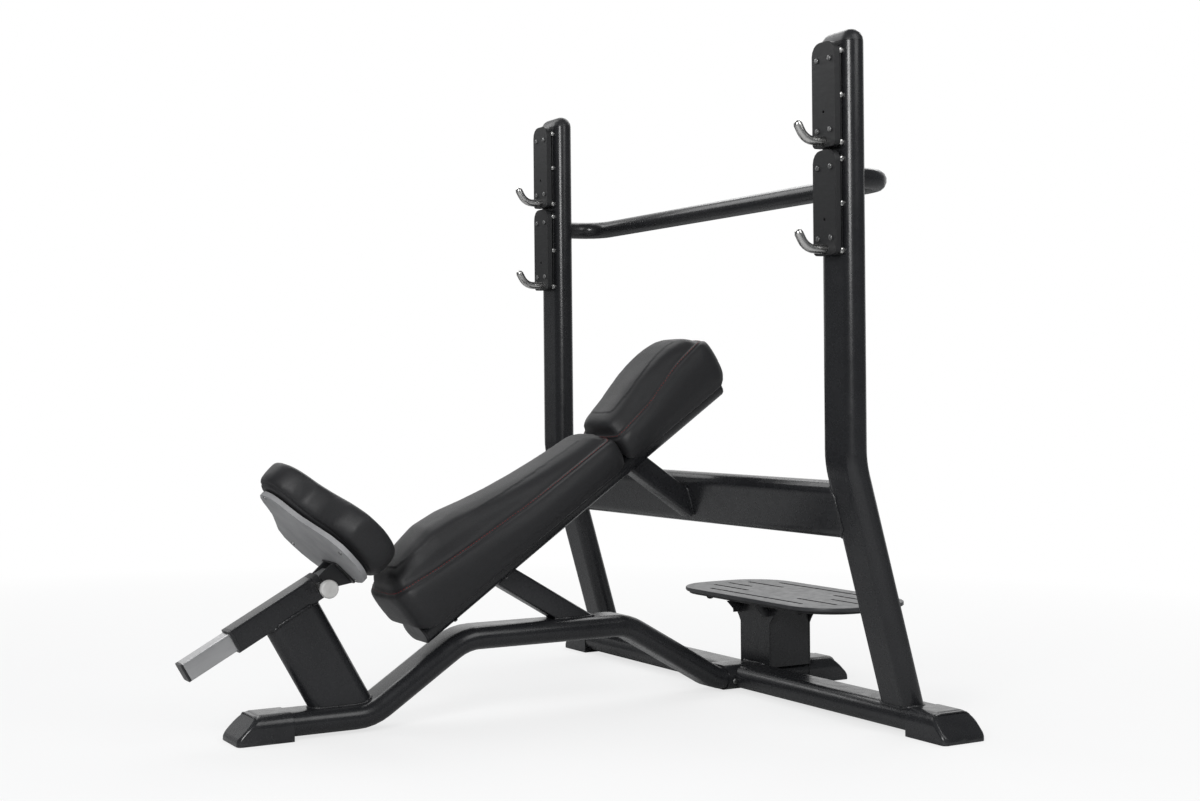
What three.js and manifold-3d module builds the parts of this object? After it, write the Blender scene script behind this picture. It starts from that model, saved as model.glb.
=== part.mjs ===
// Adjustable weight bench: an Olympic incline bench with a fixed backrest, an adjustable seat,
// two rack uprights with bar hooks, and a spotter's platform at the rear.
//
// Millimetres. +X runs across the bench, +Y to the rear (the platform), +Z up.
// The origin is the centre of the front foot's sole, on the floor and on the plane of symmetry.

import * as THREE from 'three';
import { mergeVertices } from 'three/addons/utils/BufferGeometryUtils.js';
import Module from 'manifold-3d';

const wasm = await Module();
wasm.setup();

// ---------------------------------------------------------------- driving dimensions

// Clearances
const SEAT_GAP = 0.3; // between two pieces that rest on each other
const RUNNING_GAP = 0.3; // each side of a piece that slides in another
const PIN_CLEARANCE = 0.1; // radial, round the pull pin

// Flat-oval tube of the frame
const OVAL_WIDTH = 105;
const OVAL_DEPTH = 50;
const OVAL_WALL = 3;

// Floor tubes and the four moulded feet
const FLOOR_TUBE_Z = 31;
const FOOT_LENGTH = 118;
const FOOT_SIDE = 1.5; // how far a foot's shell stands outside its tube
const FOOT_SOCKET_DEPTH = 80;
const FOOT_NOSE_SETBACK = 45;
const FOOT_TOE_HEIGHT = 9;
const FOOT_NOSE_ROUND = 14;
const SIDE_FOOT_REACH = 776; // from the plane of symmetry to a side foot's toe
const CROSSBAR_Y = 1174;
const REAR_FOOT_TOE_Y = 1451;

// Spine: a flat-oval tube that rises over a hump between two floor-level ends
const RISE_START_Y = 232;
const RISE_ANGLE = 33.4;
const HUMP_Z = 173;
const FALL_ANGLE = 30.3;
const FALL_END_Y = 1090;
const SPINE_BEND_RADIUS = 110;
const SPINE_TAIL_BEND_RADIUS = 50;
const COLLAR_LENGTH = 17;
const COLLAR_WALL = 3;

// Uprights
const UPRIGHT_X = SIDE_FOOT_REACH - 171; // each stands just inboard of its foot
const UPRIGHT_Y = 1018.5;
const UPRIGHT_BEND_Z = 549;
const UPRIGHT_LEAN = 15.8;
const UPRIGHT_BEND_RADIUS = 200;
const UPRIGHT_TOP_Z = 1385;
const CAP_PLUG_DEPTH = 18;

// Crossbar between the leaning legs of the uprights
const MID_BAR_Z = 452.5;
const MID_BAR_WIDTH = 120;

// Round bar that joins the uprights behind the racks
const UPPER_BAR_DIAMETER = 42.4;
const UPPER_BAR_WALL = 2.6;
const UPPER_BAR_Z = 1121;
const UPPER_BAR_Y = 1138;
const UPPER_BAR_BEND_RADIUS = 68;

// Racks: two on each upright
const RACK_BOTTOM_Z = 962.5;
const RACK_PITCH = 213.7;
const RACK_FACE_Y = 970.3;
const WEAR_PLATE_WIDTH = 74.4;
const WEAR_PLATE_HEIGHT = 209;
const WEAR_PLATE_THICKNESS = 13.5;
const WEAR_PLATE_TOP_RADIUS = 25;
const WEAR_PLATE_FOOT_RADIUS = 11;
const WEAR_PLATE_HOLE_Z = 70.6;
const WEAR_PLATE_HOLE_DIAMETER = 6;
const BRACKET_SHEET = 3;
const BRACKET_CROWN_WIDTH = 36;
const BRACKET_FLANGE_WIDTH = 60;
const HOOK_DIAMETER = 18.4;
const HOOK_ROOT_Z = 11.7;
const HOOK_STRAIGHT = 25;
const HOOK_BEND_RADIUS = 35;
const HOOK_BEND_ANGLE = 60;
const HOOK_TIP_LENGTH = 14;

// Seat column: a post square to the inclined sleeve in which the seat's tube slides
const COLUMN_Y = 60.4;
const COLUMN_Z = 267.8;
const COLUMN_ANGLE = 28.95;
const POST_WIDTH = 124;
const POST_DEPTH = 50;
const SLEEVE_SIZE = 50;
const SLEEVE_WALL = 2.5;
const SLEEVE_CORNER = 5;
const SLEEVE_BELOW = 125;
const SLEEVE_ABOVE = 68;
const SLIDE_SIZE = 40;
const SLIDE_WALL = 2.5;
const SLIDE_CORNER = 4;
const SLIDE_BELOW = 238;
const SLIDE_ABOVE = 109;
const BUSH_LENGTH = 26;
const LOWER_FLANGE = 6;
const GUIDE_BLOCK_LENGTH = 14;
const SLIDE_PLUG_THICKNESS = 5;
const SLIDE_PLUG_DEPTH = 20;

// Pull pin of the seat, with one hole in the slide for each height
const PIN_DIAMETER = 8;
const PIN_REACH = 8; // how far the pin's end stands inside the slide's wall
const PIN_TRAVEL = 12;
const PIN_HOLE_PITCH = 12.5;
const PIN_HOLE_COUNT = 7;
const PIN_BARREL_DIAMETER = 24;
const PIN_BARREL_LENGTH = 30;
const PIN_BARREL_WALL = 3;
const PIN_COLLAR_DIAMETER = 16;
const PIN_COLLAR_LENGTH = 3;
const PIN_SPRING_WIRE = 1.4;
const PIN_SPRING_DIAMETER = 13;
const PIN_SPRING_TURNS = 4;
const KNOB_DIAMETER = 38;
const KNOB_LENGTH = 26;
const KNOB_GAP = 1.5;

// Seat: board and pad lie in a plane that falls to the rear
const SEAT_ANGLE = 45;
const SEAT_PLANE = 370; // height of the pad's underside, measured square to it
const SEAT_BOARD_THICKNESS = 11;
const SEAT_BOARD_INSET = 12;
const SEAT_BOARD_NOSE_INSET = 22; // the pad's nose swells out further than its sides
const SEAT_NOSE_S = -362;
const SEAT_TAIL_S = -67;
const SEAT_NOSE_THICKNESS = 64;
const SEAT_TAIL_THICKNESS = 84;
const SEAT_NOSE_HALF_WIDTH = 78;
const SEAT_WING_HALF_WIDTH = 175;
const SEAT_WING_START_S = -294;
const SEAT_WING_END_S = -198;
const SEAT_BRACKET_SHEET = 4;
const SEAT_BRACKET_GRIP = 25;
const SEAT_BRACKET_WIDTH = 90;
const SEAT_BRACKET_FRONT_S = -141;
const SEAT_BRACKET_REAR_S = -80;

// Backrest: tube and pads in a plane that rises to the rear
const BACK_ANGLE = 34.73;
const BACK_TUBE_TOP = -14.6;
const BACK_TUBE_START = 398;
const BACK_TUBE_END = 1295;
const BACK_CAP_THICKNESS = 6;
const BACK_CAP_PLUG = 18;
const BACK_PAD_START = 378;
const BACK_PAD_END = 980;
const HEAD_PAD_START = 992;
const HEAD_PAD_END = 1314;
const PAD_SKIRT = 16; // how far a pad's sides hang down past the top of the tube
const PAD_CHANNEL_HALF_WIDTH = 58;
const PAD_BASE_HALF_WIDTH = 93;
const PAD_SIDE_HALF_WIDTH = 106;
const PAD_SEAM_HALF_WIDTH = 92;
const PAD_CROWN_POWER = 5; // how square the crown is, from seam to seam
const PAD_END_ROUND = 42;
// Shares of its width and of its height that a pad keeps at a free end and where the two pads meet
const PAD_FREE_END = [0.6, 0.5];
const PAD_MEETING_END = [0.82, 0.84];
// Height of the crown and of the seam, each at places along the backrest from the pad's start
const BACK_PAD_CROWN = [[0, 112], [48, 119], [78, 123], [126, 139], [168, 138], [220, 130],
  [272, 115], [320, 104], [372, 93.5], [498, 76], [553, 71.5], [602, 71]];
const BACK_PAD_SEAM = [[0, 83], [100, 67.5], [227, 57], [359, 48], [602, 46]];
const HEAD_PAD_CROWN = [[0, 77], [50, 82.5], [159, 111], [230, 118], [288, 110], [322, 105]];
const HEAD_PAD_SEAM = [[0, 37.5], [108, 50], [214, 80], [322, 92]];

// Struts that carry the backrest: square tubes
const STRUT_SIZE = 50;
const STRUT_WALL = 2.5;
const STRUT_CORNER = 7;
const UPPER_STRUT_ANGLE = 34.7;
const UPPER_STRUT_S = 1021.8; // where its centre line crosses the backrest tube's
const LOWER_STRUT_ANGLE = 30.8;
const LOWER_STRUT_S = 609.7;

// Spotter's platform on its flared pedestal
const PEDESTAL_HALF_X = 59.4;
const PEDESTAL_FRONT_Y = 1213.7;
const PEDESTAL_REAR_Y = 1331.9;
const PEDESTAL_SHEET = 4;
const PEDESTAL_FLARE_Z = 146;
const PEDESTAL_FLARE_X = 101.5;
const PEDESTAL_FLARE_Y = 40;
const PEDESTAL_SLOT_Z = 168;
const PLATFORM_TOP_Z = 211.6;
const PLATFORM_THICKNESS = 10;
const PLATFORM_HALF_X = 314;
const PLATFORM_CENTRE_Y = 1318;
const PLATFORM_HALF_Y = 147;
const PLATFORM_CORNER = 112;
const PLATFORM_EDGE_ROUND = 2.5;
const PLATFORM_SHEET = 5;
const PLATFORM_SHEET_INSET = 9;
const SLOT_PITCH = 52;
const SLOT_WIDTH = 9;
const SLOT_HALF_SPANS = [190, 250, 262, 250, 190];
const SLOT_HALF_BREAKS = [0, 100, 160, 100, 0];
const BUFFER_DIAMETER = 18;
const BUFFER_HEIGHT = 10;
const BUFFER_X = 186;
const BUFFER_Y = 107; // from the platform's centre line

// ---------------------------------------------------------------- outlines and paths

const rad = THREE.MathUtils.degToRad;
const X_AXIS = new THREE.Vector3(1, 0, 0);
const Y_AXIS = new THREE.Vector3(0, 1, 0);

/** Points of a rectangle with round corners; a radius of half its depth makes a flat oval. */
function roundedPoints(width, depth, radius, perQuarter = 4) {
  const points = [];
  const quarters = [[1, 1], [-1, 1], [-1, -1], [1, -1]];
  quarters.forEach(([sideX, sideY], quarter) => {
    for (let i = 0; i <= perQuarter; i += 1) {
      const angle = (quarter + i / perQuarter) * Math.PI / 2;
      const x = sideX * (width / 2 - radius) + radius * Math.cos(angle);
      const y = sideY * (depth / 2 - radius) + radius * Math.sin(angle);
      points.push(new THREE.Vector2(x, y));
    }
  });
  return points.filter((p, i) => p.distanceTo(points[(i + 1) % points.length]) > 1e-6);
}

/** Flat oval, grown outwards (or shrunk) by an offset. */
function ovalPoints(width, depth, offset = 0, perQuarter = 4) {
  const grown = depth + 2 * offset;
  return roundedPoints(width + 2 * offset, grown, grown / 2, perQuarter);
}

function circlePoints(radius, count) {
  const points = [];
  for (let i = 0; i < count; i += 1) {
    const angle = 2 * Math.PI * i / count;
    points.push(new THREE.Vector2(radius * Math.cos(angle), radius * Math.sin(angle)));
  }
  return points;
}

function movedPoints(points, x, y) {
  return points.map((p) => new THREE.Vector2(p.x + x, p.y + y));
}

/** Centre line of a tube: straight runs joined by round bends, all in one plane. */
class BentLine extends THREE.Curve {
  constructor(corners, radii, side, arcSteps = 4) {
    super();
    this.side = side;
    this.stations = [];
    const last = corners.length - 1;
    const along = (i) => corners[i + 1].clone().sub(corners[i]).normalize();
    this.stations.push({ point: corners[0], tangent: along(0) });
    for (let i = 1; i < last; i += 1) {
      this.addBend(corners[i], along(i - 1), along(i), radii[i - 1], arcSteps);
    }
    this.stations.push({ point: corners[last], tangent: along(last - 1) });
  }

  addBend(corner, before, after, radius, arcSteps) {
    const turn = before.angleTo(after);
    const axis = before.clone().cross(after).normalize();
    const start = corner.clone().addScaledVector(before, -radius * Math.tan(turn / 2));
    const inward = axis.clone().cross(before);
    const centre = start.clone().addScaledVector(inward, radius);
    for (let i = 0; i <= arcSteps; i += 1) {
      const angle = turn * i / arcSteps;
      const spoke = inward.clone().multiplyScalar(-radius).applyAxisAngle(axis, angle);
      const tangent = before.clone().applyAxisAngle(axis, angle);
      this.stations.push({ point: centre.clone().add(spoke), tangent });
    }
  }

  get steps() {
    return this.stations.length - 1;
  }

  getPoint(t, target = new THREE.Vector3()) {
    return target.copy(this.stations[Math.round(t * this.steps)].point);
  }

  getSpacedPoints() {
    return this.stations.map((s) => s.point);
  }

  computeFrenetFrames() {
    const tangents = this.stations.map((s) => s.tangent);
    const normals = tangents.map(() => this.side);
    const binormals = tangents.map((t) => t.clone().cross(this.side));
    return { tangents, normals, binormals };
  }
}

function straightLine(from, to, side) {
  return new BentLine([from, to], [], side);
}

// ---------------------------------------------------------------- solids

/** Sweeps an outline along a path; with a second outline the tube is hollow and open at its ends. */
function sweep(path, outline, hollow = null) {
  const shape = new THREE.Shape(outline);
  if (hollow) {
    shape.holes.push(new THREE.Path(hollow));
  }
  return new THREE.ExtrudeGeometry(shape, { steps: path.steps, extrudePath: path });
}

/** Extrudes an outline, with any holes in it, along +Z from zero. */
function prism(outline, depth, holes = []) {
  const shape = new THREE.Shape(outline);
  holes.forEach((hole) => shape.holes.push(new THREE.Path(hole)));
  return new THREE.ExtrudeGeometry(shape, { depth, bevelEnabled: false });
}

/** Extrudes an outline given in (y, z) along X, centred on the plane of symmetry. */
function sidePrism(outline, width, holes = []) {
  const geometry = prism(outline, width, holes);
  geometry.translate(0, 0, -width / 2);
  geometry.rotateX(Math.PI / 2);
  geometry.rotateZ(Math.PI / 2);
  return geometry;
}

/** Extrudes an outline given in (x, z) along +Y from zero. */
function frontPrism(outline, depth, holes = []) {
  const geometry = prism(outline, depth, holes);
  geometry.rotateX(Math.PI / 2);
  geometry.translate(0, depth, 0);
  return geometry;
}

/** Skins rings of equal point counts, first to last, and closes both ends with a fan. */
function loft(rings) {
  const count = rings[0].length;
  const positions = rings.flat().flatMap((p) => [p.x, p.y, p.z]);
  const index = [];
  for (let r = 0; r < rings.length - 1; r += 1) {
    for (let i = 0; i < count; i += 1) {
      const a = r * count + i;
      const b = r * count + (i + 1) % count;
      index.push(a, b, b + count, a, b + count, a + count);
    }
  }
  const addEnd = (ring, flip) => {
    const centre = new THREE.Vector3();
    rings[ring].forEach((p) => centre.addScaledVector(p, 1 / count));
    const hub = positions.length / 3;
    positions.push(centre.x, centre.y, centre.z);
    for (let i = 0; i < count; i += 1) {
      const a = ring * count + i;
      const b = ring * count + (i + 1) % count;
      index.push(...(flip ? [hub, b, a] : [hub, a, b]));
    }
  };
  addEnd(0, true);
  addEnd(rings.length - 1, false);
  const geometry = new THREE.BufferGeometry();
  geometry.setAttribute('position', new THREE.Float32BufferAttribute(positions, 3));
  geometry.setIndex(index);
  geometry.computeVertexNormals();
  return geometry;
}

function cylinder(radius, length, segments = 24) {
  const geometry = new THREE.CylinderGeometry(radius, radius, length, segments);
  geometry.rotateZ(-Math.PI / 2);
  geometry.translate(length / 2, 0, 0);
  return geometry;
}

/** Revolves an (x, radius) profile round the X axis. */
function turned(profile, segments = 24) {
  const points = profile.map(([x, radius]) => new THREE.Vector2(radius, x));
  const geometry = new THREE.LatheGeometry(points, segments);
  geometry.rotateZ(-Math.PI / 2);
  return geometry;
}

function toSolid(geometry) {
  const bare = geometry.clone();
  bare.deleteAttribute('normal');
  bare.deleteAttribute('uv');
  const merged = mergeVertices(bare, 1e-4);
  return new wasm.Manifold(new wasm.Mesh({
    numProp: 3,
    vertProperties: merged.attributes.position.array,
    triVerts: new Uint32Array(merged.index.array),
  }));
}

function toGeometry(solid) {
  const mesh = solid.getMesh();
  const geometry = new THREE.BufferGeometry();
  geometry.setAttribute('position', new THREE.BufferAttribute(mesh.vertProperties, 3));
  geometry.setIndex(new THREE.BufferAttribute(mesh.triVerts, 1));
  geometry.computeVertexNormals();
  return geometry;
}

function cut(body, ...tools) {
  return toGeometry(tools.reduce((solid, tool) => solid.subtract(toSolid(tool)), toSolid(body)));
}

function join(body, ...others) {
  return toGeometry(others.reduce((solid, other) => solid.add(toSolid(other)), toSolid(body)));
}

function common(body, other) {
  return toGeometry(toSolid(body).intersect(toSolid(other)));
}

/** Copy of a geometry moved into the frame of a group turned about X and then placed. */
function intoFrame(geometry, frame) {
  frame.updateMatrixWorld(true);
  return geometry.clone().applyMatrix4(frame.matrixWorld.clone().invert());
}

// ---------------------------------------------------------------- materials and nodes

const group = new THREE.Group();

const finishes = {
  frame: { color: 0x35363a, roughness: 0.45, metalness: 0.2 },
  bracket: { color: 0x2a2b2e, roughness: 0.5, metalness: 0.2 },
  shell: { color: 0x2b2c2f, roughness: 0.6, metalness: 0.0 },
  wear: { color: 0x2e2f31, roughness: 0.65, metalness: 0.0 },
  steel: { color: 0xc9cbcd, roughness: 0.25, metalness: 1.0 },
  aluminium: { color: 0xd4d5d6, roughness: 0.35, metalness: 0.9 },
  rubber: { color: 0x1b1b1d, roughness: 0.85, metalness: 0.0 },
  vinyl: { color: 0x333437, roughness: 0.55, metalness: 0.0 },
  board: { color: 0xb9b8b4, roughness: 0.8, metalness: 0.0 },
  knob: { color: 0xb7b9bb, roughness: 0.45, metalness: 0.1 },
};

function add(parent, name, geometry, finish) {
  const mesh = new THREE.Mesh(geometry, new THREE.MeshStandardMaterial(finishes[finish]));
  mesh.name = name;
  parent.add(mesh);
  return mesh;
}

/** A group turned about the X axis, for pieces laid out in their own sloping plane. */
function slopedFrame(angle, y = 0, z = 0) {
  const frame = new THREE.Group();
  frame.position.set(0, y, z);
  frame.rotation.x = rad(angle);
  group.add(frame);
  return frame;
}

// ---------------------------------------------------------------- base

const HALF_DEPTH = OVAL_DEPTH / 2;
const FLOOR_TUBE_TOP = FLOOR_TUBE_Z + HALF_DEPTH;
const FOOT_WIDTH = OVAL_WIDTH + 2 * FOOT_SIDE;
const FOOT_HEIGHT = FLOOR_TUBE_TOP + FOOT_SIDE;
const TUBE_INSET = FOOT_LENGTH - FOOT_SOCKET_DEPTH; // from a foot's toe to its tube's end
const RISE_RUN = (HUMP_Z - FLOOR_TUBE_Z) / Math.tan(rad(RISE_ANGLE));
const FALL_RUN = (HUMP_Z - FLOOR_TUBE_Z) / Math.tan(rad(FALL_ANGLE));

const inPlane = (y, z, x = 0) => new THREE.Vector3(x, y, z);

/** Outline of a floor tube, filled and grown, to cut what is welded against it. */
function floorTubeCutter(path) {
  return sweep(path, ovalPoints(OVAL_WIDTH, OVAL_DEPTH, SEAT_GAP));
}

function ovalTube(path) {
  const hollow = ovalPoints(OVAL_WIDTH, OVAL_DEPTH, -OVAL_WALL);
  return sweep(path, ovalPoints(OVAL_WIDTH, OVAL_DEPTH), hollow);
}

const crossbarEnd = SIDE_FOOT_REACH - TUBE_INSET;
const crossbarPath = straightLine(
  new THREE.Vector3(-crossbarEnd, CROSSBAR_Y, FLOOR_TUBE_Z),
  new THREE.Vector3(crossbarEnd, CROSSBAR_Y, FLOOR_TUBE_Z),
  Y_AXIS,
);
const crossbarCutter = floorTubeCutter(crossbarPath);

const spineCorners = [
  inPlane(-FOOT_LENGTH / 2 + TUBE_INSET, FLOOR_TUBE_Z),
  inPlane(RISE_START_Y, FLOOR_TUBE_Z),
  inPlane(RISE_START_Y + RISE_RUN, HUMP_Z),
  inPlane(FALL_END_Y - FALL_RUN, HUMP_Z),
  inPlane(FALL_END_Y, FLOOR_TUBE_Z),
  inPlane(CROSSBAR_Y, FLOOR_TUBE_Z),
];
const spineRadii = [
  SPINE_BEND_RADIUS, SPINE_BEND_RADIUS, SPINE_BEND_RADIUS, SPINE_TAIL_BEND_RADIUS,
];
const spinePath = new BentLine(spineCorners, spineRadii, X_AXIS);
const spineCutter = floorTubeCutter(spinePath);

const extensionPath = straightLine(
  inPlane(CROSSBAR_Y, FLOOR_TUBE_Z),
  inPlane(REAR_FOOT_TOE_Y - TUBE_INSET, FLOOR_TUBE_Z),
  X_AXIS,
);

/** Moulded foot: toe at y = 0, socket for the tube at y = FOOT_LENGTH, sole on z = 0. */
function footShell() {
  const shoulder = FOOT_HEIGHT - FLOOR_TUBE_Z;
  const section = roundedPoints(FOOT_WIDTH, 2 * FOOT_HEIGHT, shoulder);
  const upper = section.filter((p) => p.y > 0);
  const outline = [
    new THREE.Vector2(-FOOT_WIDTH / 2, 0),
    new THREE.Vector2(FOOT_WIDTH / 2, 0),
    ...upper,
  ];
  const body = frontPrism(outline, FOOT_LENGTH);
  const nose = [
    new THREE.Vector2(0, -1),
    new THREE.Vector2(FOOT_LENGTH + 1, -1),
    new THREE.Vector2(FOOT_LENGTH + 1, FOOT_HEIGHT + 1),
    ...footNoseArc(),
    new THREE.Vector2(0, FOOT_TOE_HEIGHT),
  ];
  const socketPath = straightLine(inPlane(TUBE_INSET - SEAT_GAP, FLOOR_TUBE_Z),
    inPlane(FOOT_LENGTH + 1, FLOOR_TUBE_Z), X_AXIS);
  const socket = floorTubeCutter(socketPath);
  return cut(common(body, sidePrism(nose, FOOT_WIDTH + 2)), socket);
}

/** Round between the foot's sloping end and its top, from the top down. */
function footNoseArc(steps = 4) {
  const rise = FOOT_HEIGHT - FOOT_TOE_HEIGHT;
  const slope = Math.atan2(rise, FOOT_NOSE_SETBACK);
  const tangent = FOOT_NOSE_ROUND * Math.tan(slope / 2);
  const centreY = FOOT_NOSE_SETBACK + tangent;
  const centreZ = FOOT_HEIGHT - FOOT_NOSE_ROUND;
  const points = [];
  for (let i = 0; i <= steps; i += 1) {
    const angle = Math.PI / 2 + slope * i / steps;
    points.push(new THREE.Vector2(
      centreY + FOOT_NOSE_ROUND * Math.cos(angle),
      centreZ + FOOT_NOSE_ROUND * Math.sin(angle),
    ));
  }
  return points;
}

function addFeet() {
  const places = [
    ['front_foot', 0, -FOOT_LENGTH / 2, 0],
    ['rear_foot', 0, REAR_FOOT_TOE_Y, 180],
    ['right_foot', SIDE_FOOT_REACH, CROSSBAR_Y, 90],
    ['left_foot', -SIDE_FOOT_REACH, CROSSBAR_Y, -90],
  ];
  for (const [name, x, y, turn] of places) {
    const foot = add(group, name, footShell(), 'shell');
    foot.position.set(x, y, 0);
    foot.rotation.z = rad(turn);
  }
}

function addBase() {
  add(group, 'rear_crossbar', ovalTube(crossbarPath), 'frame');
  add(group, 'spine', cut(ovalTube(spinePath), crossbarCutter), 'frame');
  add(group, 'rear_extension', cut(ovalTube(extensionPath), crossbarCutter), 'frame');
  addFeet();
}

/** Socket welded to the crossbar, into which the spine's tail is bolted. */
function addSpineCollar() {
  const start = CROSSBAR_Y - OVAL_WIDTH / 2 - COLLAR_LENGTH;
  const path = straightLine(inPlane(start, FLOOR_TUBE_Z), inPlane(CROSSBAR_Y, FLOOR_TUBE_Z), X_AXIS);
  const outline = ovalPoints(OVAL_WIDTH, OVAL_DEPTH, SEAT_GAP + COLLAR_WALL);
  const collar = sweep(path, outline, ovalPoints(OVAL_WIDTH, OVAL_DEPTH, SEAT_GAP));
  add(group, 'spine_collar', cut(collar, crossbarCutter, spineCutter), 'frame');
}

// ---------------------------------------------------------------- uprights

const leanRun = Math.tan(rad(UPRIGHT_LEAN));
const legAt = (z) => UPRIGHT_Y + (UPRIGHT_BEND_Z - z) * leanRun;

function uprightPath(x) {
  const corners = [
    inPlane(legAt(FLOOR_TUBE_Z), FLOOR_TUBE_Z, x),
    inPlane(UPRIGHT_Y, UPRIGHT_BEND_Z, x),
    inPlane(UPRIGHT_Y, UPRIGHT_TOP_Z, x),
  ];
  return new BentLine(corners, [UPRIGHT_BEND_RADIUS], X_AXIS);
}

/** Domed end cap with a plug that fits inside an upright's open end. */
function uprightCap() {
  const rings = [];
  const plug = -OVAL_WALL - SEAT_GAP;
  const ring = (offset, z) => ovalPoints(OVAL_WIDTH, OVAL_DEPTH, offset)
    .map((p) => new THREE.Vector3(p.x, p.y, z));
  rings.push(ring(plug, -CAP_PLUG_DEPTH), ring(plug, SEAT_GAP), ring(0, SEAT_GAP));
  const steps = 4;
  for (let i = 1; i <= steps; i += 1) {
    const angle = i / steps * rad(84);
    const inset = HALF_DEPTH * (1 - Math.cos(angle));
    rings.push(ring(-inset, SEAT_GAP + HALF_DEPTH * Math.sin(angle)));
  }
  return loft(rings);
}

/** Crossbar whose long side leans with the legs that it joins. */
function midCrossbar(uprightCutters) {
  const side = new THREE.Vector3(0, -Math.sin(rad(UPRIGHT_LEAN)), Math.cos(rad(UPRIGHT_LEAN)));
  const y = legAt(MID_BAR_Z);
  const path = straightLine(
    new THREE.Vector3(-UPRIGHT_X, y, MID_BAR_Z),
    new THREE.Vector3(UPRIGHT_X, y, MID_BAR_Z),
    side,
  );
  const tube = sweep(path, ovalPoints(MID_BAR_WIDTH, OVAL_DEPTH),
    ovalPoints(MID_BAR_WIDTH, OVAL_DEPTH, -OVAL_WALL));
  const filled = sweep(path, ovalPoints(MID_BAR_WIDTH, OVAL_DEPTH, SEAT_GAP));
  return { tube: cut(tube, ...uprightCutters), cutter: filled };
}

/** Round bar: straight back from each upright, then across. */
function upperBar() {
  const back = UPRIGHT_Y + HALF_DEPTH + SEAT_GAP;
  const corners = [
    new THREE.Vector3(-UPRIGHT_X, back, UPPER_BAR_Z),
    new THREE.Vector3(-UPRIGHT_X, UPPER_BAR_Y, UPPER_BAR_Z),
    new THREE.Vector3(UPRIGHT_X, UPPER_BAR_Y, UPPER_BAR_Z),
    new THREE.Vector3(UPRIGHT_X, back, UPPER_BAR_Z),
  ];
  const radii = [UPPER_BAR_BEND_RADIUS, UPPER_BAR_BEND_RADIUS];
  const path = new BentLine(corners, radii, new THREE.Vector3(0, 0, 1), 6);
  const radius = UPPER_BAR_DIAMETER / 2;
  return sweep(path, circlePoints(radius, 14), circlePoints(radius - UPPER_BAR_WALL, 14));
}

function addUprights() {
  const sides = [['left', -UPRIGHT_X], ['right', UPRIGHT_X]];
  const cutters = [];
  for (const [name, x] of sides) {
    const path = uprightPath(x);
    add(group, `${name}_upright`, cut(ovalTube(path), crossbarCutter), 'frame');
    cutters.push(floorTubeCutter(path));
    const cap = add(group, `${name}_upright_cap`, uprightCap(), 'shell');
    cap.position.set(x, UPRIGHT_Y, UPRIGHT_TOP_Z);
  }
  const bar = midCrossbar(cutters);
  add(group, 'mid_crossbar', bar.tube, 'frame');
  add(group, 'upper_bar', upperBar(), 'frame');
  return bar.cutter;
}

// ---------------------------------------------------------------- racks

/** Wear plate with its face on y = 0 and its lower edge on z = 0. */
function wearPlate() {
  const half = WEAR_PLATE_WIDTH / 2;
  const outline = [];
  const corners = [
    [half - WEAR_PLATE_FOOT_RADIUS, WEAR_PLATE_FOOT_RADIUS, WEAR_PLATE_FOOT_RADIUS],
    [half - WEAR_PLATE_TOP_RADIUS, WEAR_PLATE_HEIGHT - WEAR_PLATE_TOP_RADIUS, WEAR_PLATE_TOP_RADIUS],
    [WEAR_PLATE_TOP_RADIUS - half, WEAR_PLATE_HEIGHT - WEAR_PLATE_TOP_RADIUS, WEAR_PLATE_TOP_RADIUS],
    [WEAR_PLATE_FOOT_RADIUS - half, WEAR_PLATE_FOOT_RADIUS, WEAR_PLATE_FOOT_RADIUS],
  ];
  corners.forEach(([x, z, radius], quarter) => {
    for (let i = 0; i <= 4; i += 1) {
      const angle = (quarter - 1 + i / 4) * Math.PI / 2;
      outline.push(new THREE.Vector2(x + radius * Math.cos(angle), z + radius * Math.sin(angle)));
    }
  });
  const sightHole = movedPoints(circlePoints(WEAR_PLATE_HOLE_DIAMETER / 2, 10), 0, WEAR_PLATE_HOLE_Z);
  const hookHole = movedPoints(circlePoints(HOOK_DIAMETER / 2 + SEAT_GAP, 16), 0, HOOK_ROOT_Z);
  return frontPrism(outline, WEAR_PLATE_THICKNESS, [sightHole, hookHole]);
}

/** Hat-section bracket between the wear plate and the upright's front face. */
function rackBracket() {
  const front = WEAR_PLATE_THICKNESS + SEAT_GAP;
  const back = UPRIGHT_Y - HALF_DEPTH - RACK_FACE_Y - SEAT_GAP;
  const crown = BRACKET_CROWN_WIDTH / 2;
  const flange = BRACKET_FLANGE_WIDTH / 2;
  const half = [
    [crown, front],
    [crown, back - BRACKET_SHEET],
    [flange, back - BRACKET_SHEET],
    [flange, back],
    [crown - BRACKET_SHEET, back],
    [crown - BRACKET_SHEET, front + BRACKET_SHEET],
  ];
  const outline = [
    ...half.map(([x, y]) => new THREE.Vector2(x, y)),
    ...half.map(([x, y]) => new THREE.Vector2(-x, y)).reverse(),
  ];
  return prism(outline, WEAR_PLATE_HEIGHT - WEAR_PLATE_FOOT_RADIUS);
}

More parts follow.
